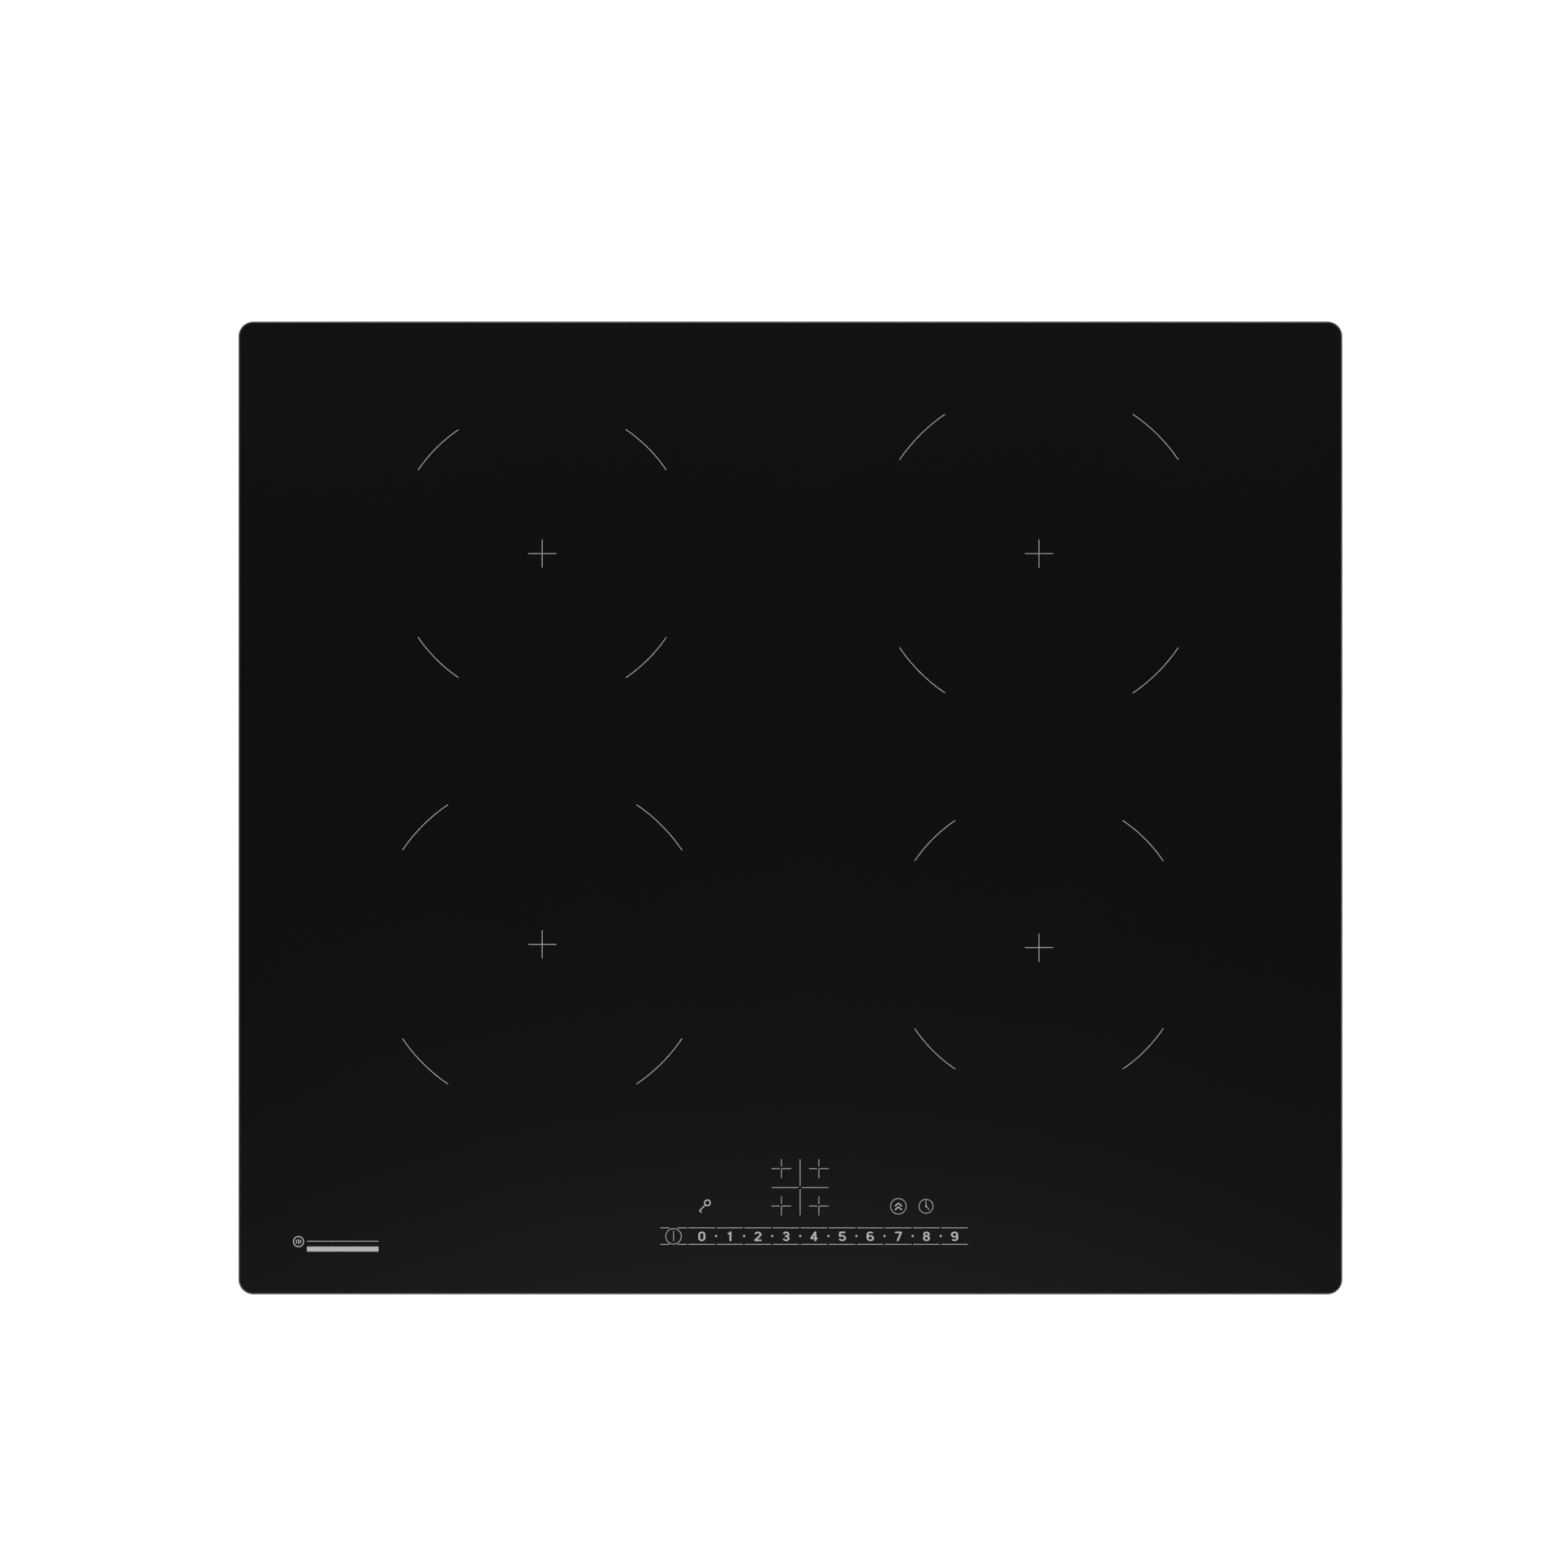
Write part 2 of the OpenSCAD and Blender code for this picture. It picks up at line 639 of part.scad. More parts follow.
// Forward-curved wheel on a steel spindle
module blower_wheel(s) {
    z0 = floor_z + blower_wall + 2;
    z1 = blower_z1 - blower_wall - 1.5;
    color([0.85, 0.85, 0.83]) translate([blower_x(s), blower_y, 0]) {
        difference() {
            rod(12, z0 + 7, z1);
            rod(9.5, z0 + 6, z1 - 3);
        }
        rod(spindle_r, floor_z + blower_wall + 2, z1 - 1);
        translate([0, 0, z1 - 5]) linear_extrude(1.6) difference() {
            circle(wheel_r);
            circle(11);
            for (a = [0 : 60 : 300]) rotate(a) translate([21, 0]) circle(6);
        }
        tube_z(wheel_r, wheel_r - 9, z0, z0 + 1.6);
        for (i = [0 : blades - 1]) rotate([0, 0, i * 360 / blades])
            translate([wheel_r - 4.4, 0, z0 + 0.5]) linear_extrude(z1 - z0 - 0.5) difference() {
                translate([0, 6]) circle(7, $fn = 48);
                translate([0, 6]) circle(6, $fn = 48);
                translate([-20, 2.6]) square([40, 30]);
                translate([-20, -20]) square([16.2, 40]);
                translate([3.8, -20]) square([16.2, 40]);
            }
    }
}

// Plastic channel that leads the air from the blower over the heat sink
module air_duct(s) {
    wall = 1.4;
    half = outlet_w / 2;
    z0 = board_z + board_t;
    color([0.25, 0.25, 0.26]) translate([s * sink_x, 0, 0]) difference() {
        block([-half, sink_y0 + 30, z0 + 0.2], [half, outlet_y - 0.3, tray_z0 - 0.3]);
        block([-half + wall, sink_y0, z0 - 1], [half - wall, outlet_y + 1, tray_z0 - 0.3 - wall]);
    }
}

// ---------- mains filter and terminals ----------

filter_posts = [[-240, 116], [-172, 116], [-240, 176], [-172, 176]];
module filter_board() {
    color([0.1, 0.36, 0.2]) difference() {
        block([-247, 109, board_z], [-165, 183, board_z + board_t]);
        standoff_places(filter_posts) rod(1.6, board_z - 1, board_z + board_t + 1);
    }
}

// Common-mode choke with two windings on an upright ring, filter capacitors and a fuse
module filter_parts() {
    z0 = board_z + board_t;
    color([0.7, 0.38, 0.18]) translate([-206, 132, z0 + 14.3]) rotate([90, 0, 0]) {
        rotate_extrude() translate([9, 0]) square([4, 9], center = true);
        for (i = [0 : 9], half = [22, 202]) rotate([0, 0, half + i * 15]) translate([9, 0, 0]) winding_turn();
    }
    color([0.85, 0.75, 0.2]) {
        block([-236, 150, z0], [-210, 164, z0 + 22]);
        block([-200, 150, z0], [-182, 160, z0 + 16]);
        block([-192, 166, z0], [-180, 171, z0 + 11]);
        translate([-226, 172, z0 + 3]) rotate([0, 90, 0]) cylinder(r = 3, h = 24);
    }
}

module winding_turn() {
    difference() {
        cube([5.6, 1.2, 10.6], center = true);
        cube([3.6, 2, 8.6], center = true);
    }
}

// Screw terminals on a moulded base
module terminal_block() {
    ways = 5;
    pitch = 11;
    x0 = -256;
    z0 = -44;
    color([0.2, 0.2, 0.22]) difference() {
        union() {
            block([x0, 196, z0], [x0 + ways * pitch + 5, 214, z0 + 16]);
            block([x0, 192, z0 + 16], [x0 + ways * pitch + 5, 224, z0 + 18.5]);
        }
        for (i = [0 : ways - 1]) translate([x0 + 8 + i * pitch, 205, 0]) {
            rod(2.4, z0 - 1, z0 + 6);
            translate([0, 12, z0 + 9]) rotate([90, 0, 0]) cylinder(r = 2.6, h = 16);
        }
    }
}

// Lid over the terminal opening, hinged along its front edge, with a snap tongue
lid_t = 1.6;
module terminal_lid() {
    x0 = lid_x0 + lid_gap;
    x1 = lid_x1 - lid_gap;
    y1 = pan_d / 2 - 6 - lid_gap;
    color([0.14, 0.14, 0.15]) difference() {
        union() {
            block([x0, plate_y, pan_z0], [x1, y1, pan_z0 + lid_t]);
            for (x = knuckle_xs) {
                block([x, hinge_y - 0.6, pan_z0], [x + knuckle_l, plate_y + 1, pan_z0 + lid_t]);
                block([x, hinge_y - 0.6, pan_z0], [x + knuckle_l, hinge_y + hinge_r, hinge_z]);
                translate([x, hinge_y, hinge_z]) rotate([0, 90, 0]) cylinder(r = hinge_r, h = knuckle_l);
            }
            block([x1 - 20, y1 - 4, pan_z0 + 0.4], [x1 - 6, y1 - 2.6, pan_z0 + 7]);
            for (i = [0 : 2]) block([x0 + 4, lid_y0 + 12 + 9 * i, pan_z0 + 1],
                                    [x1 - 4, lid_y0 + 13.2 + 9 * i, pan_z0 + lid_t + 1]);
        }
        translate([x0 - 1, hinge_y, hinge_z]) rotate([0, 90, 0])
            cylinder(r = pin_r + running_fit, h = x1 - x0 + 2);
    }
}

module hinge_pin() {
    color([0.8, 0.8, 0.8]) translate([lid_x0 + 5, hinge_y, hinge_z]) rotate([0, 90, 0])
        cylinder(r = pin_r, h = lid_x1 - lid_x0 - 10);
}

// Moulded cable clamp in the rear notch
module cable_gland() {
    w = notch_x1 - notch_x0;
    color([0.12, 0.12, 0.13]) translate([(notch_x0 + notch_x1) / 2, 0, 0]) difference() {
        union() {
            block([-w / 2 + 0.1, pan_d / 2 - 5.6, -51.6], [w / 2 - 0.1, pan_d / 2 + 1.4, notch_z - 0.1]);
            block([-w / 2 - 2, pan_d / 2 - 5.6, -49.6], [w / 2 + 2, pan_d / 2 - sheet_t - 0.1, notch_z + 2]);
            block([-w / 2 + 3, pan_d / 2 - 16, -50.4], [w / 2 - 3, pan_d / 2 - 5, notch_z - 2]);
        }
        translate([0, pan_d / 2 + 3, -42.4]) rotate([90, 0, 0]) cylinder(r = 6.5, h = 24);
    }
}

// ---------- controls ----------

ribbon_x = 68;
ribbon_w = 20;
module control_holder() {
    z0 = touch_z - 5;
    wall = 1.6;
    color([0.18, 0.18, 0.19]) difference() {
        union() {
            difference() {
                block([touch_x0 - 6, board_front_y, z0], [touch_x1 + 6, touch_y1 + 5, glass_z0 - 0.1]);
                block([touch_x0 - 6 + wall, board_front_y + wall, z0 + wall],
                      [touch_x1 + 6 - wall, touch_y1 + 5 - wall, glass_z0 + 1]);
            }
            for (x = [touch_x0 + 2, touch_x1 - 2, (touch_x0 + touch_x1) / 2], y = [board_front_y + 5, touch_y1 - 2])
                translate([x, y, 0]) rod(2.4, z0 + wall - slack, touch_z);
        }
        for (i = [0 : 6]) block([touch_x0 + 7 + i * 22, -223, z0 - 1], [touch_x0 + 21 + i * 22, -197, z0 + wall + 1]);
        block([ribbon_x - 1, touch_y1, touch_z - 1.6], [ribbon_x + ribbon_w + 1, touch_y1 + 6, touch_z + 0.6]);
    }
}

module touch_board() {
    color([0.1, 0.3, 0.18])
        block([touch_x0 - 3, board_front_y + 2.4, touch_z], [touch_x1 + 3, touch_y1 + 2, touch_z + board_t]);
}

// Conductive foam columns under each touch field
slider_y = -228.8;
module touch_pads() {
    pads = concat([for (i = [0 : 9]) [-47.3 + 15 * i, slider_y + 0.3]], [[-62.4, slider_y + 0.3]],
        [[57.7, -212.8], [72.5, -212.8], [-45.8, -212.8], [-4.8, -192.6], [15.2, -192.6], [-4.8, -212.6], [15.2, -212.6]]);
    color([0.3, 0.3, 0.3]) for (p = pads) translate([p[0], p[1], 0])
        rod(3, touch_z + board_t, glass_z0);
}

// Segment display behind the glass, beside the timer field
module display_module() {
    color([0.9, 0.9, 0.88]) difference() {
        block([84, -219, touch_z + board_t], [102, -207, glass_z0 - 0.3]);
        for (x = [86, 94]) for (y = [-217.4, -212.6])
            block([x, y, glass_z0 - 1], [x + 5.6, y + 3.8, glass_z0]);
    }
}

// Flat cable from the touch board down to the right power board
module ribbon_cable() {
    half_t = 0.35;
    path = [[touch_y1 - 6, touch_z - 0.4], [touch_y1 + 9, touch_z - 0.4], [touch_y1 + 16, touch_z - 9],
            [touch_y1 + 30, board_z + 16], [board_y0 + 6, board_z + 8], [board_y0 + 6, board_z + board_t + half_t]];
    side_a = [for (p = path) p + [half_t, half_t]];
    side_b = [for (i = [len(path) - 1 : -1 : 0]) path[i] - [half_t, half_t]];
    color([0.75, 0.75, 0.74]) translate([ribbon_x, 0, 0]) rotate([90, 0, 90])
        linear_extrude(ribbon_w) polygon(concat(side_a, side_b));
}

// Leads from each winding, through the tray, over the blower and down to its power board
lead_r = 1.3;
module lead_wires() {
    over_z = tray_z0 - 2.6;
    color([0.75, 0.1, 0.1]) for (z = ZONES, k = [-1, 1]) {
        s = sign(z[1][0]);
        x = z[1][0] + s * 9.5;
        y = z[1][1] + 4 * k;
        down_x = s * (163 - 3 * k);
        board_y = (z[1][1] > 0 ? 70 : -110) + 4 * k;
        swept_tube([[x, y, former_z0], [x, y, over_z + 1.5], [x + s * 2, y, over_z], [down_x - s * 3, y, over_z],
                    [down_x, y - 3, over_z - 4], [down_x, board_y + 12, board_z + 14],
                    [down_x, board_y, board_z + 8], [down_x, board_y, board_z + board_t]], lead_r);
    }
}

// ---------- nodes ----------

glass_plate();
edge_seal();
adhesive_bead();
glass_frame();
housing_pan();
housing_screws();
coil_tray();
standoffs();
coil_springs();
temp_sensors();
insulation_discs();
lead_wires();
for (z = ZONES) {
    coil_winding(z);
    coil_former(z);
    ferrite_bars(z);
}
for (s = SIDES) {
    power_board(s[1]);
    heat_sink(s[1]);
    power_switches(s[1]);
    capacitors(s[1]);
    blower_housing(s[1]);
    blower_cover(s[1]);
    blower_wheel(s[1]);
    air_duct(s[1]);
}
filter_board();
filter_parts();
control_holder();
touch_board();
touch_pads();
display_module();
ribbon_cable();
terminal_block();
terminal_lid();
cable_gland();
hinge_pin();
clamp_bushes();
for (c = CLAMPS) {
    clamp_screw(c);
    clamp_arm(c);
}
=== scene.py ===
"""The looks of a built-in electric induction cooktop: a black glass plate with printed zones and
touch keys, on a zinc-coated steel housing with its coils, blowers, boards and worktop clamps."""

import math

import bmesh
import bpy
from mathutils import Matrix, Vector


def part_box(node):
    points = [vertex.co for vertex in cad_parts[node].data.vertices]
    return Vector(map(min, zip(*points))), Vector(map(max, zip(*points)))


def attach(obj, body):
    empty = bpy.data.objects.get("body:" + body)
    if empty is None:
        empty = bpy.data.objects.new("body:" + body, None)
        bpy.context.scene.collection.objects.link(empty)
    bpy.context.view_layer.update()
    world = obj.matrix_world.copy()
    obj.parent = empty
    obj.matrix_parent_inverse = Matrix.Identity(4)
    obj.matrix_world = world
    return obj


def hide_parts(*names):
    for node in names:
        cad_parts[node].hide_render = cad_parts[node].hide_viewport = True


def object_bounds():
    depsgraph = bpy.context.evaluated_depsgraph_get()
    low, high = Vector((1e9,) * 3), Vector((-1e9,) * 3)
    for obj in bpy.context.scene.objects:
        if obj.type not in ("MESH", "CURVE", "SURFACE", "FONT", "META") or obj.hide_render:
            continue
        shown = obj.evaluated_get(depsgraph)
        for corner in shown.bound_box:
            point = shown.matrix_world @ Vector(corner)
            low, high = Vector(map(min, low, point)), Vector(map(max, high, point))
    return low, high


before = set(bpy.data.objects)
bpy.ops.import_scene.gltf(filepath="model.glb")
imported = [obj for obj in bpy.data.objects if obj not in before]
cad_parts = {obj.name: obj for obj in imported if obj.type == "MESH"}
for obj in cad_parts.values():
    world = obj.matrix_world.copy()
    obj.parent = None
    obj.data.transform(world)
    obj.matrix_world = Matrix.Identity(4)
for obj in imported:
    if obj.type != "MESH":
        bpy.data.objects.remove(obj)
cad_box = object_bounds()

MM = 0.001
ZONES = ("rear_left", "rear_right", "front_left", "front_right")
SIDES = ("left", "right")

# ---------- Viewpoint ----------
# The cooktop lies flat and is looked at from straight above with a long lens, square to the
# glass and a little to the rear of its middle.

EYE_X, EYE_Y, EYE_HEIGHT = -3.40 * MM, 12.82 * MM, 2.3265

glass_low, glass_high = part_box("glass_plate")
bpy.ops.object.select_all(action="DESELECT")
eye_place = (EYE_X, EYE_Y, glass_high.z + EYE_HEIGHT)
bpy.ops.object.camera_add(location=eye_place, rotation=(0, 0, 0))
eye = bpy.context.active_object
eye.name = "eye"
eye.data.lens = 100
eye.data.sensor_width = 36
eye.data.clip_start = 0.01
bpy.context.scene.camera = eye

# ---------- Housing ----------
# The housing is a pan folded from zinc-coated sheet steel, with pressed beads, air slots and
# pockets for the clamps. A flanged frame of the same sheet closes it and carries the glass.


class Wire:
    """One output of a material's nodes, so that shader maths reads as plain sums."""

    def __init__(self, tree, socket):
        self.tree = tree
        self.socket = socket

    def node(self, kind, settings, sockets, output=0):
        """Adds any node: its settings are made first, then the values or links of its sockets."""
        made = self.tree.nodes.new("ShaderNode" + kind)
        for name, value in settings.items():
            setattr(made, name, value)
        for name, value in sockets.items():
            if isinstance(value, Wire):
                self.tree.links.new(value.socket, made.inputs[name])
            else:
                made.inputs[name].default_value = value
        return Wire(self.tree, made.outputs[output])

    def maths(self, operation, *others):
        """A Math node's operation on this value, and on others where it takes more than one."""
        return self.node("Math", {"operation": operation}, dict(enumerate((self, *others))))

    def __add__(self, other):
        return self.maths("ADD", other)

    __radd__ = __add__

    def __mul__(self, other):
        return self.maths("MULTIPLY", other)

    __rmul__ = __mul__

    def __sub__(self, other):
        return self.maths("SUBTRACT", other)

    def __rsub__(self, other):
        return self.node("Math", {"operation": "SUBTRACT"}, {0: other, 1: self})

    def __truediv__(self, other):
        return self.maths("DIVIDE", other)

    def __pow__(self, other):
        return self.maths("POWER", other)

    def __lt__(self, other):
        return self.maths("LESS_THAN", other)

    def __gt__(self, other):
        return self.maths("GREATER_THAN", other)

    def __abs__(self):
        return self.maths("ABSOLUTE")

    def axis(self, letter):
        """One coordinate of a place."""
        return self.node("SeparateXYZ", {}, {0: self}, letter)

    def stretched(self, x, y, z):
        """The place with its three axes scaled, which draws a pattern out along the small ones."""
        return self.node("VectorMath", {"operation": "MULTIPLY"}, {0: self, 1: (x, y, z)})

    def noise(self, scale, detail=3.0, rough=0.55):
        """A cloudy or grainy value, with that many features to the metre."""
        sockets = {"Vector": self, "Scale": scale, "Detail": detail, "Roughness": rough}
        return self.node("TexNoise", {}, sockets)

    def cells(self, scale, output="Distance", random=1.0):
        """Spots or flakes: the distance to the nearest cell's middle, or the cell's own colour."""
        sockets = {"Vector": self, "Scale": scale, "Randomness": random}
        return self.node("TexVoronoi", {}, sockets, output)

    def between(self, low, high, first=0.0, last=1.0):
        """Runs from first to last as this value goes from low to high."""
        sockets = {"Value": self, 1: low, 2: high, 3: first, 4: last}
        return self.node("MapRange", {"interpolation_type": "SMOOTHSTEP"}, sockets)

    def tint(self, dark, light):
        """A colour from dark, at 0, to light, at 1. Each is a colour or another tint."""
        colours = [
            colour if isinstance(colour, Wire) else (*colour, 1.0) for colour in (dark, light)
        ]
        sockets = {0: self, 6: colours[0], 7: colours[1]}
        return self.node("Mix", {"data_type": "RGBA"}, sockets, 2)

    def relief(self, strength, depth):
        """The bumps that this value makes as a height, depth metres deep."""
        sockets = {"Strength": strength, "Distance": depth, "Height": self}
        return self.node("Bump", {}, sockets)


def finish(name, recipe, **constants):
    """A material: constants sit on the shader itself, and the recipe gives what varies."""
    made = bpy.data.materials.new(name)
    made.use_nodes = True
    tree = made.node_tree
    shader = tree.nodes["Principled BSDF"]
    for socket, value in constants.items():
        shader.inputs[socket.replace("_", " ")].default_value = value
    place = Wire(tree, tree.nodes.new("ShaderNodeTexCoord").outputs["Object"])
    for socket, wire in recipe(place).items():
        tree.links.new(wire.socket, shader.inputs[socket])
    return made


def coat(material, *nodes):
    """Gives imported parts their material."""
    for node in nodes:
        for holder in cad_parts[node].material_slots:
            holder.material = material


def galvanised(place):
    flake = place.cells(95, "Color")
    fine = place.noise(420, 4)
    cloud = place.noise(14, 2)
    shade = flake * 0.45 + fine * 0.25 + cloud * 0.3
    return {
        "Base Color": shade.tint((0.23, 0.24, 0.25), (0.50, 0.51, 0.515)),
        "Roughness": flake * 0.16 + fine * 0.12 + 0.30,
        "Normal": (flake * 0.5 + fine).relief(0.25, 0.00006),
    }


coat(finish("zinc_coated_steel", galvanised, Metallic=1.0), "housing_pan", "glass_frame")

# ---------- Rating plate ----------
# A foil plate is stuck on the rear wall, where the fitter sees it. Here it is left blank, with
# only ruled fields and a border.

FOIL_LENGTH, FOIL_THICK, FOIL_HEIGHT = 80 * MM, 0.12 * MM, 26 * MM
BORDER_OUTSIDE = (38 * MM, 11.2 * MM)
BORDER_INSIDE = (37.2 * MM, 10.4 * MM)
RULE_PITCH = 3.2 * MM
RULE_HALF = 0.15 * MM
GLUE = 0.001 * MM
rear_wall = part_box("housing_pan")[1].y
foil_middle = (80 * MM, rear_wall + FOIL_THICK / 2 + GLUE, -33 * MM)


def pick(kind, test):
    """In edit mode, selects the vertices, edges or faces of which the test is true."""
    mesh = bmesh.from_edit_mesh(bpy.context.active_object.data)
    bpy.ops.mesh.select_mode(type=kind)
    bpy.ops.mesh.select_all(action="DESELECT")
    parts = {"VERT": mesh.verts, "EDGE": mesh.edges, "FACE": mesh.faces}[kind]
    for part in parts:
        if test(part):
            part.select_set(True)
    mesh.select_flush_mode()
    bmesh.update_edit_mesh(bpy.context.active_object.data)


def runs_along(edge, axis):
    """Whether an edge is parallel to x, y or z, which are 0, 1 and 2."""
    span = (edge.verts[1].co - edge.verts[0].co).normalized()
    return abs(span[axis]) > 0.999


def block(middle, size):
    """A box at its place, with the place and size in its mesh, open in edit mode."""
    bpy.ops.object.select_all(action="DESELECT")
    bpy.ops.mesh.primitive_cube_add(size=1, location=middle, scale=size)
    bpy.ops.object.transform_apply(location=True, rotation=True, scale=True)
    bpy.ops.object.mode_set(mode="EDIT")


def bevel(width, steps):
    """Rounds the picked edges, or slopes them where there is one step."""
    bpy.ops.mesh.bevel(offset=width, segments=steps, affect="EDGES", clamp_overlap=False)


def fitted(name, material, smooth=30):
    """Closes the piece that is being shaped, and fits it to the appliance. Edges under the
    angle smooth, in degrees, are shaded as one surface."""
    if bpy.context.mode != "OBJECT":
        bpy.ops.object.mode_set(mode="OBJECT")
    piece = bpy.context.active_object
    bpy.ops.object.transform_apply(location=True, rotation=True, scale=True)
    bpy.ops.object.shade_smooth_by_angle(angle=math.radians(smooth))
    piece.name = piece.data.name = name
    piece.data.materials.clear()
    piece.data.materials.append(material)
    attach(piece, "appliance")
    return piece


def foil(place):
    across = abs(place.axis("X") - foil_middle[0])
    up = place.axis("Z") - foil_middle[2]
    inside = (across < BORDER_OUTSIDE[0]) * (abs(up) < BORDER_OUTSIDE[1])
    border = (across > BORDER_INSIDE[0]).maths("MAXIMUM", abs(up) > BORDER_INSIDE[1])
    swing = (up + 100 * MM).maths("PINGPONG", RULE_PITCH)
    rules = abs(swing - RULE_PITCH / 2) > RULE_PITCH / 2 - RULE_HALF
    ink = inside * border.maths("MAXIMUM", rules * (across < BORDER_INSIDE[0]))
    grain = place.stretched(900, 900, 90).noise(1, 2)
    return {
        "Base Color": ink.tint((0.62, 0.63, 0.64), (0.05, 0.05, 0.055)),
        "Roughness": grain * 0.2 + 0.3 + ink * 0.2,
        "Metallic": 0.8 - ink * 0.8,
        "Normal": grain.relief(0.2, 0.00002),
    }


block(foil_middle, (FOIL_LENGTH, FOIL_THICK, FOIL_HEIGHT))
pick("EDGE", lambda edge: runs_along(edge, 1))
bevel(1.5 * MM, 5)
fitted("blank_rating_plate", finish("foil_plate", foil))

# ---------- Screws, hinge pin and bushes ----------
# The small turned and rolled steel parts are bright zinc plated, with a faint blue and yellow
# cast. The threaded bushes are riveted into the clamp pockets.


def bright_zinc(place):
    cast = place.noise(160, 2)
    scuff = place.stretched(1, 1, 0.15).noise(2600, 3)
    return {
        "Base Color": cast.between(0.35, 0.65).tint((0.60, 0.64, 0.70), (0.74, 0.71, 0.60)),
        "Roughness": scuff * 0.22 + 0.14,
        "Normal": scuff.relief(0.2, 0.00002),
    }


zinc = finish("bright_zinc", bright_zinc, Metallic=1.0)
coat(zinc, "housing_screws", "hinge_pin", "clamp_bushes")
coat(zinc, *("clamp_screw_" + zone for zone in ZONES))

# ---------- Worktop clamps ----------
# Each clamp is a pressed steel arm that turns about its long screw. It is zinc plated, and
# shows the marks of the rolled sheet along its length.


def plated_sheet(place):
    rolled = place.stretched(900, 60, 900).noise(1, 3)
    stain = place.noise(70, 3)
    return {
        "Base Color": stain.between(0.3, 0.7).tint((0.52, 0.50, 0.44), (0.66, 0.66, 0.67)),
        "Roughness": rolled * 0.25 + 0.24,
        "Normal": rolled.relief(0.3, 0.00003),
    }


clamp_steel = finish("plated_clamp_steel", plated_sheet, Metallic=1.0)
coat(clamp_steel, *("clamp_arm_" + zone for zone in ZONES))

# ---------- Supply terminals ----------
# The terminal block, its hinged lid and the cable clamp are black mouldings with a spark-eroded
# surface. No supply cable is fitted: the fitter brings it in through the clamp.


def spark_moulded(place):
    spark = place.noise(2400, 2, 0.7)
    flow = place.noise(30, 3)
    return {
        "Base Color": flow.tint((0.014, 0.014, 0.015), (0.035, 0.035, 0.037)),
        "Roughness": spark * 0.2 + flow * 0.12 + 0.38,
        "Normal": spark.relief(0.45, 0.00006),
    }


black_moulding = finish("black_moulding", spark_moulded)
coat(black_moulding, "terminal_block", "terminal_lid", "cable_gland")

# ---------- Blowers and air ducts ----------
# Each blower is a black scroll with a pale wheel that spins in it, and a duct carries its air
# over the heat sink. The wheel is moulded in one piece from a satin plastic.


def satin_moulded(place):
    flow = place.noise(45, 3)
    grain = place.noise(1800, 2)
    return {
        "Base Color": flow.tint((0.58, 0.57, 0.53), (0.72, 0.71, 0.68)),
        "Roughness": grain * 0.15 + 0.36,
        "Normal": grain.relief(0.2, 0.00003),
    }


satin = finish("satin_moulding", satin_moulded)
for side in SIDES:
    coat(black_moulding, "blower_housing_" + side, "blower_cover_" + side, "air_duct_" + side)
    coat(satin, "blower_wheel_" + side)

# ---------- Power boards ----------
# Two power boards and a filter board carry the electronics: green laminate with copper tracks
# under its lacquer and rows of tinned joints.


def laminate(place):
    flat = place.stretched(1, 1, 0)
    sockets = {"Vector": flat, "Scale": 1.0, "Mortar Size": 0.0011, "Mortar Smooth": 0.1}
    sockets |= {"Brick Width": 0.019, "Row Height": 0.0052}
    tracks = 1 - place.node("TexBrick", {"offset": 0.37}, sockets, "Fac")
    joints = flat.cells(210, random=0.45) < 0.17
    ring = flat.cells(210, random=0.45) < 0.24
    fibre = flat.noise(900, 3)
    lacquer = (tracks * 0.55 + fibre * 0.3).tint((0.006, 0.050, 0.020), (0.018, 0.155, 0.055))
    return {
        "Base Color": joints.tint(ring.tint(lacquer, (0.02, 0.20, 0.08)), (0.62, 0.62, 0.60)),
        "Roughness": fibre * 0.12 + 0.24,
        "Metallic": joints * 0.9,
        "Normal": (tracks * 0.6 + ring * 0.8 + fibre * 0.1).relief(0.5, 0.00008),
    }


lacquered_laminate = finish("lacquered_laminate", laminate)
coat(lacquered_laminate, "power_board_left", "power_board_right", "filter_board", "touch_board")

# ---------- Heat sinks ----------
# The heat sinks are cut from an extruded aluminium section, so fine lines run along them from
# front to rear.


def extruded(place):
    lines = place.stretched(2600, 30, 2600).noise(1, 3)
    dull = place.noise(60, 2)
    return {
        "Base Color": dull.tint((0.62, 0.63, 0.64), (0.76, 0.77, 0.78)),
        "Roughness": lines * 0.25 + 0.26,
        "Normal": lines.relief(0.35, 0.00003),
    }


coat(finish("extruded_aluminium", extruded, Metallic=1.0), "heat_sink_left", "heat_sink_right")

# ---------- Power switches, capacitors and mains filter ----------
# The switches are black epoxy packages screwed to the heat sink. The capacitors have yellow
# cast cases, and the filter's choke is wound with lacquered copper on a ring.

CHOKE_REAR = 146 * MM


def epoxy(place):
    grain = place.noise(3000, 2, 0.7)
    return {
        "Base Color": grain.tint((0.010, 0.010, 0.011), (0.030, 0.030, 0.031)),
        "Roughness": grain * 0.2 + 0.42,
        "Normal": grain.relief(0.4, 0.00004),
    }


def cast_case(place):
    blush = place.noise(110, 3)
    pitted = place.noise(1500, 2)
    return {
        "Base Color": blush.tint((0.46, 0.27, 0.045), (0.66, 0.42, 0.09)),
        "Roughness": pitted * 0.2 + 0.22,
        "Normal": pitted.relief(0.25, 0.00005),
    }


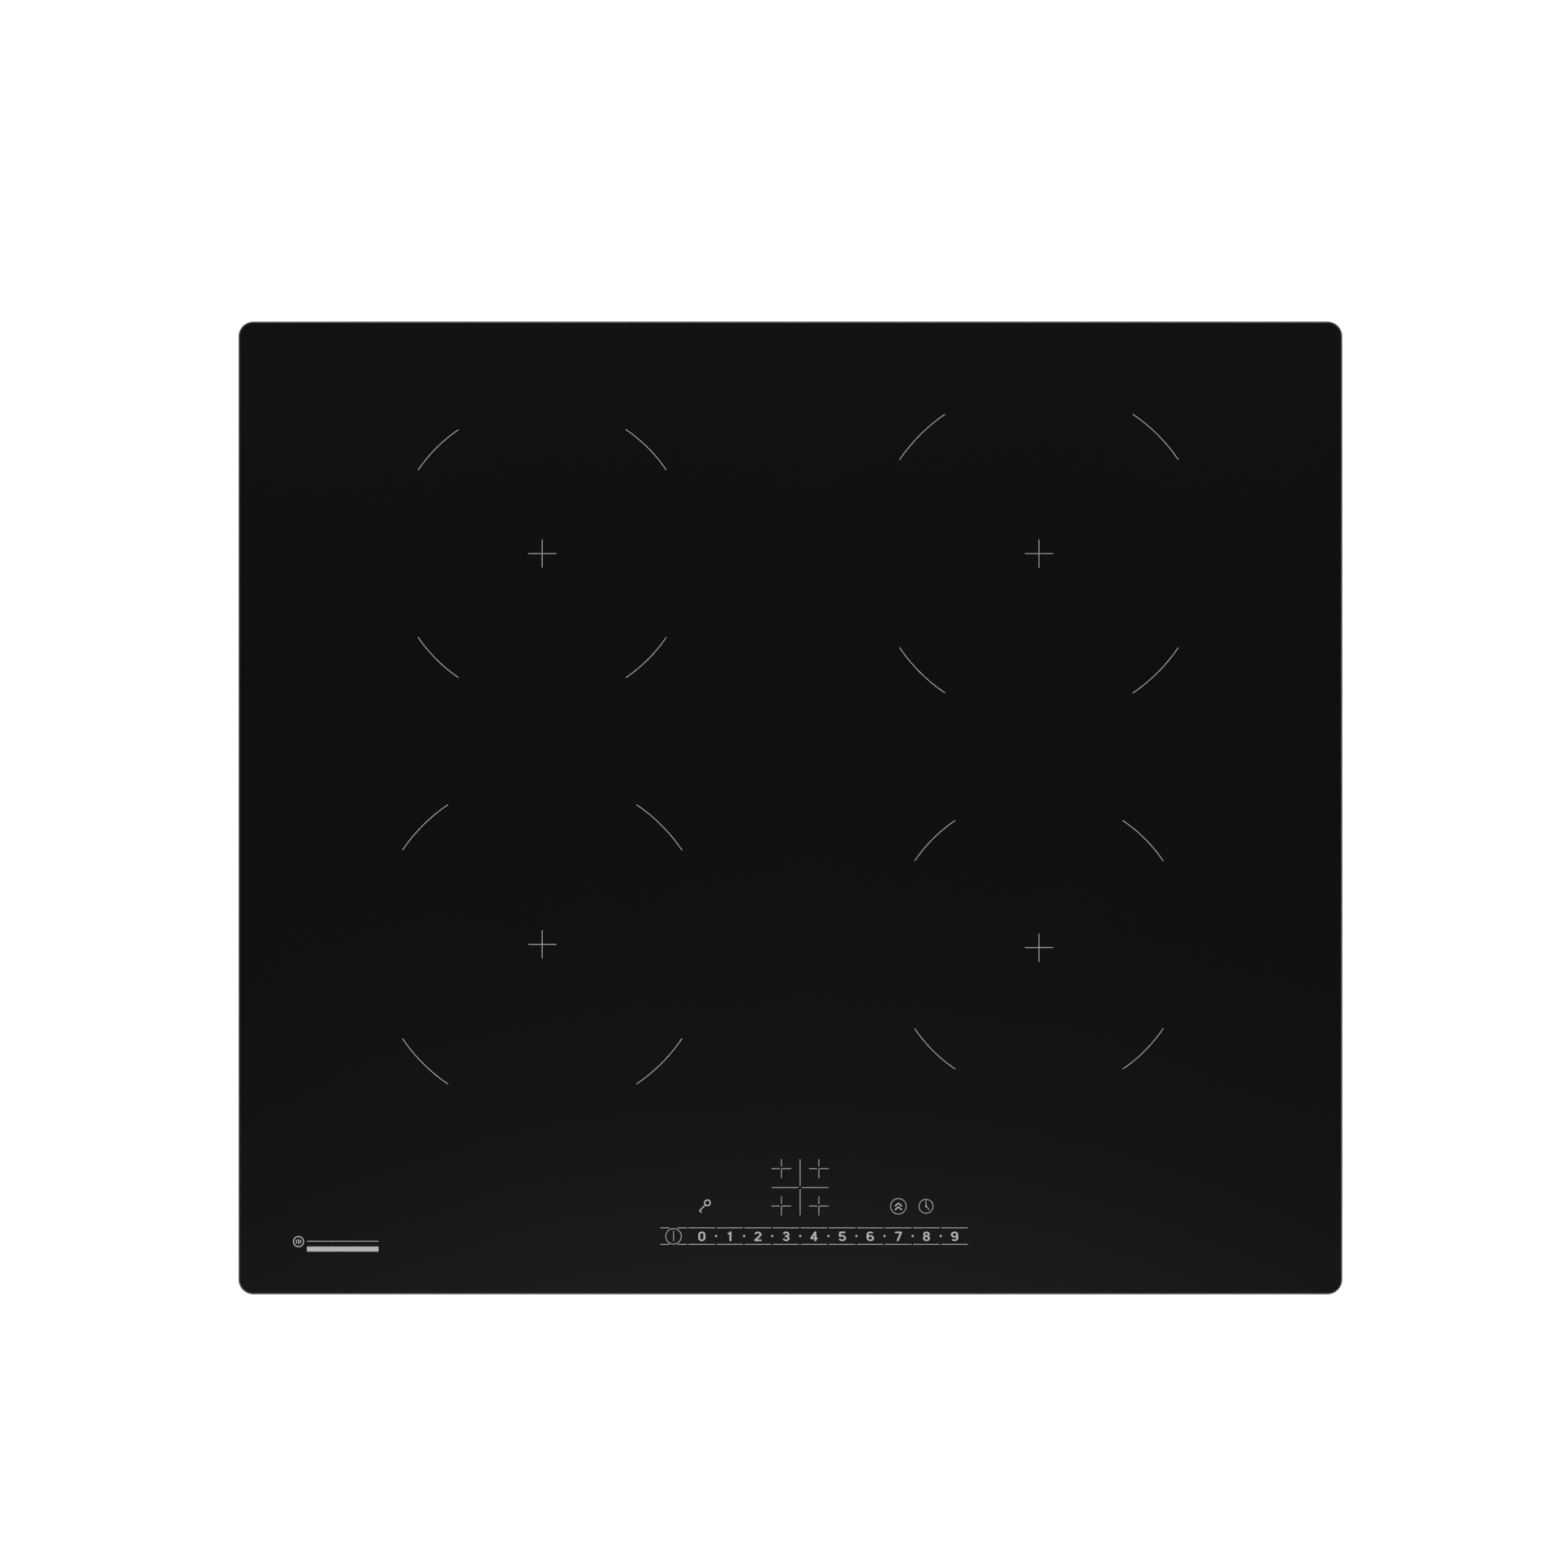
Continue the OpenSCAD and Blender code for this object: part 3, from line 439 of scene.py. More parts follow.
def choke_and_cases(place):
    choke_side = place.axis("Y") < CHOKE_REAR
    turns = place.noise(900, 2)
    wire = turns.tint((0.42, 0.13, 0.035), (0.66, 0.27, 0.09))
    case = place.noise(120, 2).tint((0.55, 0.40, 0.05), (0.70, 0.55, 0.10))
    return {
        "Base Color": choke_side.tint(case, wire),
        "Roughness": turns * 0.18 + 0.22,
        "Metallic": choke_side * 0.7,
        "Normal": turns.relief(0.25, 0.00006),
    }


coat(finish("epoxy_package", epoxy), "power_switches_left", "power_switches_right")
coat(finish("cast_case", cast_case, Coat_Weight=0.3), "capacitors_left", "capacitors_right")
coat(finish("choke_and_cases", choke_and_cases), "filter_parts")

# ---------- Coil tray and its supports ----------
# A pressed aluminium tray stands on moulded pillars above the boards, and screens them from
# the coils. Small springs on it push each coil up against the glass.


def mill_finish(place):
    rolled = place.stretched(25, 1500, 1500).noise(1, 4)
    smear = place.noise(18, 3)
    return {
        "Base Color": smear.tint((0.68, 0.69, 0.70), (0.82, 0.83, 0.84)),
        "Roughness": rolled * 0.22 + smear * 0.12 + 0.2,
        "Normal": rolled.relief(0.3, 0.00003),
    }


def glass_filled(place):
    fibre = place.stretched(1, 0.3, 1).noise(2200, 3, 0.65)
    flow = place.noise(25, 3)
    return {
        "Base Color": (flow * 0.6 + fibre * 0.4).tint((0.60, 0.56, 0.46), (0.80, 0.77, 0.70)),
        "Roughness": fibre * 0.25 + 0.38,
        "Normal": fibre.relief(0.35, 0.00005),
    }


def drawn_wire(place):
    drawn = place.noise(1600, 2)
    return {
        "Base Color": drawn.tint((0.46, 0.46, 0.47), (0.72, 0.72, 0.72)),
        "Roughness": drawn * 0.2 + 0.18,
    }


coat(finish("mill_finish_aluminium", mill_finish, Metallic=1.0), "coil_tray")
stiff_moulding = finish("glass_filled_moulding", glass_filled)
coat(stiff_moulding, "standoffs")
coat(finish("drawn_spring_wire", drawn_wire, Metallic=1.0), "coil_springs")

# ---------- Induction coils ----------
# Each coil is a flat spiral of twisted enamelled copper strands on a moulded former, with
# ferrite bars set like spokes beneath it, and a mica disc between it and the glass.


def twisted_strands(middle):
    """Strands that wind round the wire of a spiral about that middle, with painted shade between.
    """

    def recipe(place):
        x = place.axis("X") - middle.x
        y = place.axis("Y") - middle.y
        reach = (x * x + y * y) ** 0.5
        turn = y.maths("ARCTAN2", x)
        strand = (turn * 240 + reach * 2600 + place.axis("Z") * 1900).maths("SINE")
        worn = place.noise(90, 3)
        # The strand term paints shade in the grooves between strands and a sheen on their crowns;
        # the worn noise is the copper's own uneven tone.
        shade = strand * 0.25 + worn * 0.6 + 0.15
        return {
            "Base Color": shade.tint((0.30, 0.075, 0.020), (0.72, 0.30, 0.11)),
            "Roughness": 0.40 - strand * 0.08,
            "Normal": strand.relief(0.7, 0.00018),
        }

    return recipe


def sintered(place):
    grain = place.noise(1300, 4, 0.7)
    return {
        "Base Color": grain.tint((0.018, 0.018, 0.020), (0.065, 0.065, 0.070)),
        "Roughness": grain * 0.3 + 0.42,
        "Normal": grain.relief(0.5, 0.00008),
    }


def pressed_mica(place):
    flakes = place.cells(420, "Color")
    sheetwise = place.noise(60, 4)
    return {
        "Base Color": (flakes * 0.5 + sheetwise * 0.5).tint((0.42, 0.36, 0.24), (0.72, 0.68, 0.56)),
        "Roughness": flakes * 0.35 + 0.25,
        "Normal": flakes.relief(0.2, 0.00004),
    }


def moulded_cap(place):
    grain = place.noise(1400, 2)
    return {
        "Base Color": grain.tint((0.56, 0.56, 0.52), (0.70, 0.70, 0.66)),
        "Roughness": grain * 0.15 + 0.5,
        "Normal": grain.relief(0.2, 0.00004),
    }


def sleeved_lead(place):
    powder = place.noise(700, 3)
    return {
        "Base Color": powder.tint((0.33, 0.012, 0.010), (0.50, 0.035, 0.030)),
        "Roughness": powder * 0.2 + 0.4,
        "Normal": powder.relief(0.15, 0.00004),
    }


ferrite = finish("sintered_ferrite", sintered)
for zone in ZONES:
    winding_low, winding_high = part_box("coil_winding_" + zone)
    strands = twisted_strands((winding_low + winding_high) / 2)
    coat(finish("litz_" + zone, strands, Metallic=0.85), "coil_winding_" + zone)
    coat(stiff_moulding, "coil_former_" + zone)
    coat(ferrite, "ferrite_bars_" + zone)
coat(finish("pressed_mica", pressed_mica), "insulation_discs")
coat(finish("sensor_cap", moulded_cap), "temp_sensors")
coat(finish("sleeved_lead", sleeved_lead), "lead_wires")

# ---------- Touch controls ----------
# A black holder carries the touch board under the front of the glass. Conductive foam pads
# press against the glass below each key, beside a small segment display.

DISPLAY_FACE = 0.9 * MM
CORE_PITCH = 1.27 * MM
FIRST_CORE = 1.3 * MM


def open_foam(place):
    pores = place.cells(1500)
    return {
        "Base Color": pores.tint((0.035, 0.035, 0.036), (0.13, 0.13, 0.13)),
        "Roughness": pores * 0.1 + 0.8,
        "Normal": pores.relief(0.8, 0.0002),
    }


def display_case(place):
    face = place.axis("Z") > DISPLAY_FACE
    grain = place.noise(1200, 2)
    return {
        "Base Color": face.tint((0.68, 0.68, 0.66), (0.03, 0.03, 0.032)),
        "Roughness": grain * 0.12 + 0.3,
    }


def flat_cable(place):
    cores = (place.axis("X") + 1.0).maths("PINGPONG", CORE_PITCH / 2) / (CORE_PITCH / 2)
    first = place.axis("X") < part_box("ribbon_cable")[0].x + FIRST_CORE
    # The cores' ramp paints each crown lighter and each groove between cores darker: painted
    # highlight and shade on plain grey insulation.
    shade = cores.tint((0.40, 0.40, 0.40), (0.58, 0.58, 0.57))
    return {
        "Base Color": first.tint(shade, (0.45, 0.03, 0.03)),
        "Roughness": cores * 0.1 + 0.4,
        "Normal": (cores * (math.pi / 2)).maths("SINE").relief(0.8, 0.0002),
    }


coat(black_moulding, "control_holder")
coat(finish("conductive_foam", open_foam), "touch_pads")
coat(finish("display_case", display_case, Coat_Weight=0.4), "display_module")
coat(finish("flat_cable", flat_cable), "ribbon_cable")

# ---------- Adhesive bead ----------
# A bead of black silicone bonds the glass to the frame's flange, and seals it.


def cured_silicone(place):
    drawn = place.noise(240, 3)
    return {
        "Base Color": drawn.tint((0.012, 0.012, 0.012), (0.030, 0.030, 0.030)),
        "Roughness": drawn * 0.2 + 0.35,
        "Normal": drawn.relief(0.3, 0.0002),
    }


coat(finish("cured_silicone", cured_silicone), "adhesive_bead")

# ---------- Edge seal ----------
# A ring of closed-cell foam under the rim of the glass seals it to the worktop. It is cut from
# a strip 9 mm wide, and the weight of the glass rounds its edges.

SEAL_BAND = 9 * MM
SEAL_CORNER = 6 * MM
INNER_CORNER = 2 * MM
SEAL_EDGE = 0.42 * MM


def closed_cells(place):
    pores = place.cells(1900)
    squashed = place.noise(160, 2)
    shade = pores * 0.7 + squashed * 0.3
    return {
        "Base Color": shade.tint((0.010, 0.010, 0.011), (0.045, 0.045, 0.047)),
        "Roughness": pores * 0.12 + 0.78,
        "Normal": (pores + squashed * 0.5).relief(0.8, 0.00015),
    }


def upright_beyond(edge, x):
    """Whether an upright edge stands further out to the side than x."""
    return runs_along(edge, 2) and abs(edge.verts[0].co.x) > x


seal_low, seal_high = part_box("edge_seal")
block((seal_low + seal_high) / 2, seal_high - seal_low)
pick("FACE", lambda face: abs(face.normal.z) > 0.9)
bpy.ops.mesh.inset(thickness=SEAL_BAND, use_even_offset=True)
bpy.ops.mesh.bridge_edge_loops()
seal_side = seal_high.x - SEAL_CORNER - MM
pick("EDGE", lambda edge: upright_beyond(edge, seal_side))
bevel(SEAL_CORNER, 12)
pick("EDGE", lambda edge: runs_along(edge, 2) and not upright_beyond(edge, seal_side))
bevel(INNER_CORNER, 4)
pick("EDGE", lambda edge: edge.is_manifold and edge.calc_face_angle() > math.radians(60))
bevel(SEAL_EDGE, 3)
bpy.ops.mesh.select_all(action="SELECT")
bpy.ops.mesh.normals_make_consistent(inside=False)
seal = fitted("foam_edge_seal", finish("closed_cell_foam", closed_cells), smooth=50)
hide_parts("edge_seal")

# ---------- Glass plate ----------
# The cooking surface is one plate of black glass ceramic, polished above. Its rim is ground to a
# slope all round, and the arrises are taken off, so that it shows as a thin frosted line.

GLASS_IOR = 1.5
GLASS_CORNER = 8 * MM
RIM_SLOPE = 0.9 * MM
LOWER_SLOPE = 0.45 * MM
ARRIS = 0.13 * MM
INK_HEIGHT = 0.03 * MM


def black_ceramic(place):
    wiped = place.noise(9, 4)
    haze = place.noise(1100, 2)
    return {
        "Base Color": wiped.tint((0.0006, 0.0006, 0.0007), (0.0010, 0.0010, 0.0011)),
        "Roughness": wiped * 0.02 + haze * 0.01 + 0.02,
    }


def ground_rim(place):
    ground = place.noise(3800, 3, 0.7)
    return {
        "Base Color": ground.tint((0.004, 0.004, 0.0045), (0.012, 0.012, 0.013)),
        "Roughness": ground * 0.15 + 0.3,
        "Normal": ground.relief(0.5, 0.00003),
    }




def level_with(edge, z):
    return all(abs(end.co.z - z) < 0.001 * MM for end in edge.verts)


plate_top = glass_high.z - INK_HEIGHT
size = (glass_high.x - glass_low.x, glass_high.y - glass_low.y, plate_top - glass_low.z)
block((0, 0, (plate_top + glass_low.z) / 2), size)
pick("EDGE", lambda edge: runs_along(edge, 2))
bevel(GLASS_CORNER, 20)
pick("EDGE", lambda edge: level_with(edge, plate_top))
bevel(RIM_SLOPE, 1)
pick("EDGE", lambda edge: level_with(edge, glass_low.z))
bevel(LOWER_SLOPE, 1)
pick("EDGE", lambda edge: edge.is_manifold and 40 < math.degrees(edge.calc_face_angle()) < 52)
bevel(ARRIS, 2)
polished = finish("black_glass_ceramic", black_ceramic, IOR=GLASS_IOR)
glass = fitted("glass_top", polished, smooth=12)
glass.data.materials.append(finish("ground_rim", ground_rim, IOR=GLASS_IOR))
for face in glass.data.polygons:
    face.material_index = 0 if abs(face.normal.z) > 0.999 else 1
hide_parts("glass_plate")

# ---------- Zone prints ----------
# Each cooking zone is marked by a cross at its middle and four short arcs, screen-printed in
# pale enamel and fired onto the glass.

LINE = 0.29  # millimetres, as are the places and sizes of all the prints
INK_THICK = 0.05 * MM
CROSS_REACH = 7.5
ARC_HALF = 11.3  # degrees to each side of a diagonal
ink_level = glass_high.z - INK_THICK / 2


def enamel(place):
    speckle = place.noise(6000, 2)
    cloud = place.noise(25, 2)
    shade = speckle * 0.5 + cloud * 0.5
    return {
        "Base Color": shade.tint((0.300, 0.301, 0.305), (0.335, 0.335, 0.336)),
        "Roughness": speckle * 0.15 + 0.45,
        "Normal": speckle.relief(0.1, 0.00001),
    }


pale_enamel = finish("pale_enamel", enamel)


def cross(x, y, reach):
    """A printed cross: a small square with an arm drawn out of each side."""
    block((x * MM, y * MM, ink_level), (LINE * MM, LINE * MM, INK_THICK))
    pick("FACE", lambda face: abs(face.normal.z) < 0.1)
    bpy.ops.mesh.extrude_faces_move(
        TRANSFORM_OT_shrink_fatten={"value": (reach - LINE / 2) * MM}
    )
    bpy.ops.object.mode_set(mode="OBJECT")
    return bpy.context.active_object


def ring(x, y, radius, width=LINE, keep=None, steps=360):
    """A printed circle, or only the part of it at the angles that keep accepts."""
    bpy.ops.object.select_all(action="DESELECT")
    middle = (x * MM, y * MM, ink_level - INK_THICK / 2)
    inner = radius - width / 2
    bpy.ops.mesh.primitive_circle_add(vertices=steps, radius=inner * MM, location=middle)
    bpy.ops.object.mode_set(mode="EDIT")
    if keep:
        pick("VERT", lambda v: not keep(math.degrees(math.atan2(v.co.y, v.co.x)) % 360))
        bpy.ops.mesh.delete(type="VERT")
    bpy.ops.mesh.select_all(action="SELECT")
    bpy.ops.mesh.extrude_region_move()
    grow = (radius + width / 2) / inner
    bpy.ops.transform.resize(value=(grow, grow, 1), center_override=middle)
    bpy.ops.mesh.select_all(action="SELECT")
    bpy.ops.mesh.extrude_region_move(TRANSFORM_OT_translate={"value": (0, 0, INK_THICK)})
    bpy.ops.mesh.select_all(action="SELECT")
    bpy.ops.mesh.normals_make_consistent(inside=False)
    bpy.ops.object.mode_set(mode="OBJECT")
    return bpy.context.active_object


def printed(name, parts):
    """Joins printed marks into one piece, and merges those that overlap."""
    bpy.ops.object.select_all(action="DESELECT")
    for part in parts:
        part.select_set(True)
    bpy.context.view_layer.objects.active = parts[0]
    bpy.ops.object.join()
    bpy.ops.object.mode_set(mode="EDIT")
    bpy.ops.mesh.select_all(action="SELECT")
    bpy.ops.mesh.intersect_boolean(operation="UNION", use_self=True, solver="EXACT")
    return fitted(name, pale_enamel, smooth=20)


def by_diagonal(angle):
    return abs(angle % 90 - 45) <= ARC_HALF


# Each zone: x, the arcs' y, the cross's y, and the arcs' radius
ZONE_MARKS = {
    "rear_left": (-132.55, 135.87, 135.87, 79.9),
    "rear_right": (132.77, 135.87, 135.87, 89.75),
    "front_left": (-132.55, -72.83, -72.83, 90.0),
    "front_right": (132.77, -73.05, -74.56, 80.05),
}
for zone, (x, arc_y, cross_y, radius) in ZONE_MARKS.items():
    marks = [cross(x, cross_y, CROSS_REACH), ring(x, arc_y, radius, keep=by_diagonal, steps=720)]
    printed("zone_print_" + zone, marks)

# ---------- Zone selector print ----------
# Four small crosses stand for the four zones, each with a line bent round it, between two
# pairs of long lines. A touch on a cross picks its zone.

SELECTOR_X, SELECTOR_Y = 5.2, -202.77
ARM_START, ARM_END = 0.9, 15.2
REAR_ARM = (-187.6, -201.9)
FRONT_ARM = (-203.6, -217.5)
SMALL_X, SMALL_Y = (-4.8, 15.2), (-192.6, -212.6)
SMALL_REACH_X, SMALL_REACH_Y = 5.2, 5
BEND = 0.8


def bar(start, end, width=LINE):
    """A printed straight line between two points."""
    span = (end[0] - start[0], end[1] - start[1])
    bpy.ops.object.select_all(action="DESELECT")
    bpy.ops.mesh.primitive_cube_add(
        size=1,
        location=((start[0] + end[0]) / 2 * MM, (start[1] + end[1]) / 2 * MM, ink_level),
        rotation=(0, 0, math.atan2(span[1], span[0])),
        scale=(math.hypot(*span) * MM, width * MM, INK_THICK),
    )
    bpy.ops.object.transform_apply(location=True, rotation=True, scale=True)
    return bpy.context.active_object


def bent_line(x, y):
    """From the right of a small cross to its middle, round a small bend there, and down."""
    return [
        bar((x + BEND, y), (x + SMALL_REACH_X, y)),
        ring(x + BEND, y - BEND, BEND, keep=lambda angle: 89.5 < angle < 180.5, steps=48),
        bar((x, y - BEND), (x, y - SMALL_REACH_Y)),
    ]


lines = [
    bar((SELECTOR_X, REAR_ARM[0]), (SELECTOR_X, REAR_ARM[1])),
    bar((SELECTOR_X, FRONT_ARM[0]), (SELECTOR_X, FRONT_ARM[1])),
    bar((SELECTOR_X - ARM_END, SELECTOR_Y), (SELECTOR_X - ARM_START, SELECTOR_Y)),
    bar((SELECTOR_X + ARM_START, SELECTOR_Y), (SELECTOR_X + ARM_END, SELECTOR_Y)),
]
for x in SMALL_X:
    for y in SMALL_Y:
        lines.append(bar((x, y + SMALL_REACH_Y), (x, y + 1.1)))
        lines.append(bar((x - SMALL_REACH_X, y), (x - BEND, y)))
        lines += bent_line(x, y)
printed("zone_selector_print", lines)

# ---------- Power slider print ----------
# The power of a zone is set by sliding a finger along ten fields, numbered 0 to 9, between two
# broken lines.

SLIDER_LINES = (-224.25, -233.1)
POWER_FIELD = [(-69.4, -64.6), (-60.3, -55.1)]
FIELDS = 10
FIELD_PITCH = 15.0
FIELD_LENGTH = 14.1
FIRST_FIELD = -54.4
FIRST_DIGIT = -47.3
DIGIT_LEVEL = -228.8
DIGIT_STROKE = 0.74
DIGIT_STRETCH = 1.22
FIRST_DOT = -39.7
DOT_LEVEL = -228.6
DOT_RADIUS = 0.54
SIX = (
    [(0, -0.93, 1.2, 0, 360), (0, 0.93, 1.2, 40, 180)],
    [(-1.2, -0.93, -1.2, 0.93)],
)
# Each numeral: arcs as x, y, radius, first and last angle, then bars from end to end
NUMERALS = (
    (
        [(0, 1.01, 1.12, 0, 180), (0, -1.01, 1.12, 180, 360)],
        [(-1.12, -1.01, -1.12, 1.01), (1.12, -1.01, 1.12, 1.01)],
    ),
    ([], [(0.25, -2.5, 0.25, 2.5), (-0.9, 1.35, 0.2, 1.75)]),
    (
        [(0, 1.01, 1.12, -40, 170)],
        [(0.93, 0.37, -1.15, -1.95), (-1.49, -2.13, 1.49, -2.13)],
    ),
    ([(0, 1.1, 1.03, -90, 165), (0, -1.03, 1.1, -165, 90)], [(-0.45, 0.07, 0, 0.07)]),
    ([], [(0.55, -2.5, 0.55, 2.5), (-1.5, -1.1, 1.5, -1.1), (0.45, 2.15, -1.3, -0.95)]),
    (
        [(0, -0.91, 1.22, -160, 140)],
        [(-1.1, 2.13, 1.3, 2.13), (-0.9, 2.3, -1.12, -0.15)],
    ),
    SIX,
    ([], [(-1.45, 2.13, 1.45, 2.13), (1.2, 2.1, -0.4, -2.5)]),
    ([(0, 1.12, 1.01, 0, 360), (0, -1.01, 1.12, 0, 360)], []),
    (
        [(-x, -y, radius, first + 180, last + 180) for x, y, radius, first, last in SIX[0]],
        [tuple(-value for value in ends) for ends in SIX[1]],
    ),
)


def numeral(count, x):
    """A printed numeral in plain strokes, drawn at the middle, then widened and set in place."""
    arcs, bars = NUMERALS[count]
    strokes = [bar(ends[:2], ends[2:], DIGIT_STROKE) for ends in bars]
    for arc_x, arc_y, radius, first, last in arcs:
        span = last - first
        keep = None if span == 360 else lambda angle: (angle - first + 0.5) % 360 <= span + 1
        strokes.append(ring(arc_x, arc_y, radius, DIGIT_STROKE, keep, steps=72))
    bpy.ops.object.select_all(action="DESELECT")
    for stroke in strokes:
        stroke.select_set(True)
    bpy.context.view_layer.objects.active = strokes[0]
    bpy.ops.object.join()
    drawn = bpy.context.active_object
    bpy.ops.object.transform_apply(location=True, rotation=True, scale=True)
    drawn.scale.x = DIGIT_STRETCH
    drawn.location = (x * MM, DIGIT_LEVEL * MM, 0)
    bpy.ops.object.transform_apply(location=True, rotation=True, scale=True)
    return drawn


def dot(x, y, radius):
    """A printed spot."""
    bpy.ops.object.select_all(action="DESELECT")
    place = (x * MM, y * MM, ink_level)
    bpy.ops.mesh.primitive_cylinder_add(
        vertices=24, radius=radius * MM, depth=INK_THICK, location=place
    )
    return bpy.context.active_object


marks = []
for level in SLIDER_LINES:
    marks += [bar((left, level), (right, level)) for left, right in POWER_FIELD]
    for count in range(FIELDS):
        left = FIRST_FIELD + FIELD_PITCH * count
        marks.append(bar((left, level), (left + FIELD_LENGTH, level)))
for count in range(FIELDS):
    marks.append(numeral(count, FIRST_DIGIT + FIELD_PITCH * count))
for count in range(FIELDS - 1):
    marks.append(dot(FIRST_DOT + FIELD_PITCH * count, DOT_LEVEL, DOT_RADIUS))
printed("power_slider_print", marks)

# ---------- Key prints ----------
# The power key is a ring with a bar. The boost key has two chevrons that point up, the timer
# key is a small clock, and the lock key is a key.

POWER_KEY = (-62.4, -228.8)
BOOST_KEY = (57.7, -212.75)
TIMER_KEY = (72.45, -212.75)
LOCK_BOW = (-44.3, -210.9)
KEY_RADIUS = 4.15
CLOCK_RADIUS = 3.72
BOW_RADIUS = 1.5
BOLD = 0.6


def beside(place, right, rear):
    return (place[0] + right, place[1] + rear)


keys = [
    ring(*POWER_KEY, KEY_RADIUS),
    bar(beside(POWER_KEY, 0, -2.6), beside(POWER_KEY, 0, 3)),
    ring(*BOOST_KEY, KEY_RADIUS),
    ring(*TIMER_KEY, CLOCK_RADIUS),
    bar(beside(TIMER_KEY, 0, -0.1), beside(TIMER_KEY, 0, 3.05)),
    bar(TIMER_KEY, beside(TIMER_KEY, 1.85, -1.85)),
    dot(*TIMER_KEY, 0.45),
    ring(*LOCK_BOW, BOW_RADIUS, BOLD),
    bar(beside(LOCK_BOW, -1, -1), beside(LOCK_BOW, -4.2, -4.2), 0.5),
    bar(beside(LOCK_BOW, -4.3, -3.95), beside(LOCK_BOW, -3.1, -5.15), BOLD),
]
for rise in (-0.3, 1.7):
    tip = beside(BOOST_KEY, 0, rise)
    keys.append(bar(beside(tip, -1.8, -1.6), tip, BOLD))
    keys.append(bar(tip, beside(tip, 1.8, -1.6), BOLD))
printed("key_prints", keys)

# ---------- Maker's panel print ----------
# The maker's panel at the front left corner is a plain one: a solid bar under a thin line, and
# beside it a ring with three upright strokes that says the plate gets hot.

PANEL_LEFT, PANEL_RIGHT = -258.2, -220.0
PANEL_BAR, PANEL_LINE = -235.6, -231.4
BAR_WIDTH = 2.6
HOT_RING = (-262.7, -231.6)
HOT_RADIUS = 2.7
HOT_LINE = 0.45

panel = [
    bar((PANEL_LEFT, PANEL_BAR), (PANEL_RIGHT, PANEL_BAR), BAR_WIDTH),
    bar((PANEL_LEFT, PANEL_LINE), (PANEL_RIGHT, PANEL_LINE)),
    ring(*HOT_RING, HOT_RADIUS, HOT_LINE, steps=96),
]
for shift, half in ((-1.1, 0.9), (0, 1.3), (1.1, 0.9)):
    panel.append(bar(beside(HOT_RING, shift, -half), beside(HOT_RING, shift, half), HOT_LINE))
printed("maker_panel_print", panel)

# ---------- Studio ----------
# A white sweep carries the cooktop, and is clear from below. Wide soft lights stand to the
# sides, and the sky is dark overhead, so that the polished glass stays black from above.

FLOOR_SIZE = 3
FLOOR_DROP = 0.2 * MM
PAPER_WHITE = (0.72, 0.72, 0.72, 1)
WHITE = (1, 1, 1, 1)
PAPER_GLOW = 0.56
GLOW = 3.25
GLOW_AHEAD = 0.372
GLOW_HALF_X, GLOW_HALF_Y = 0.145, 0.152
UNDER_LIGHT = 0.85

bpy.ops.object.select_all(action="DESELECT")
floor_level = cad_box[0].z - FLOOR_DROP
bpy.ops.mesh.primitive_plane_add(size=FLOOR_SIZE, location=(0, 0, floor_level))
floor = bpy.context.active_object
floor.name = "floor"
floor_paper = bpy.data.materials.new("white_sweep")
floor_paper.use_nodes = True
tree = floor_paper.node_tree
paper = tree.nodes["Principled BSDF"]
paper.inputs["Base Color"].default_value = PAPER_WHITE
paper.inputs["Roughness"].default_value = 0.9
paper.inputs["Specular IOR Level"].default_value = 0.1
paper.inputs["Emission Color"].default_value = WHITE
paper.inputs["Emission Strength"].default_value = PAPER_GLOW
side = tree.nodes.new("ShaderNodeNewGeometry")
clear = tree.nodes.new("ShaderNodeBsdfTransparent")
choice = tree.nodes.new("ShaderNodeMixShader")
tree.links.new(side.outputs["Backfacing"], choice.inputs[0])
tree.links.new(paper.outputs[0], choice.inputs[1])
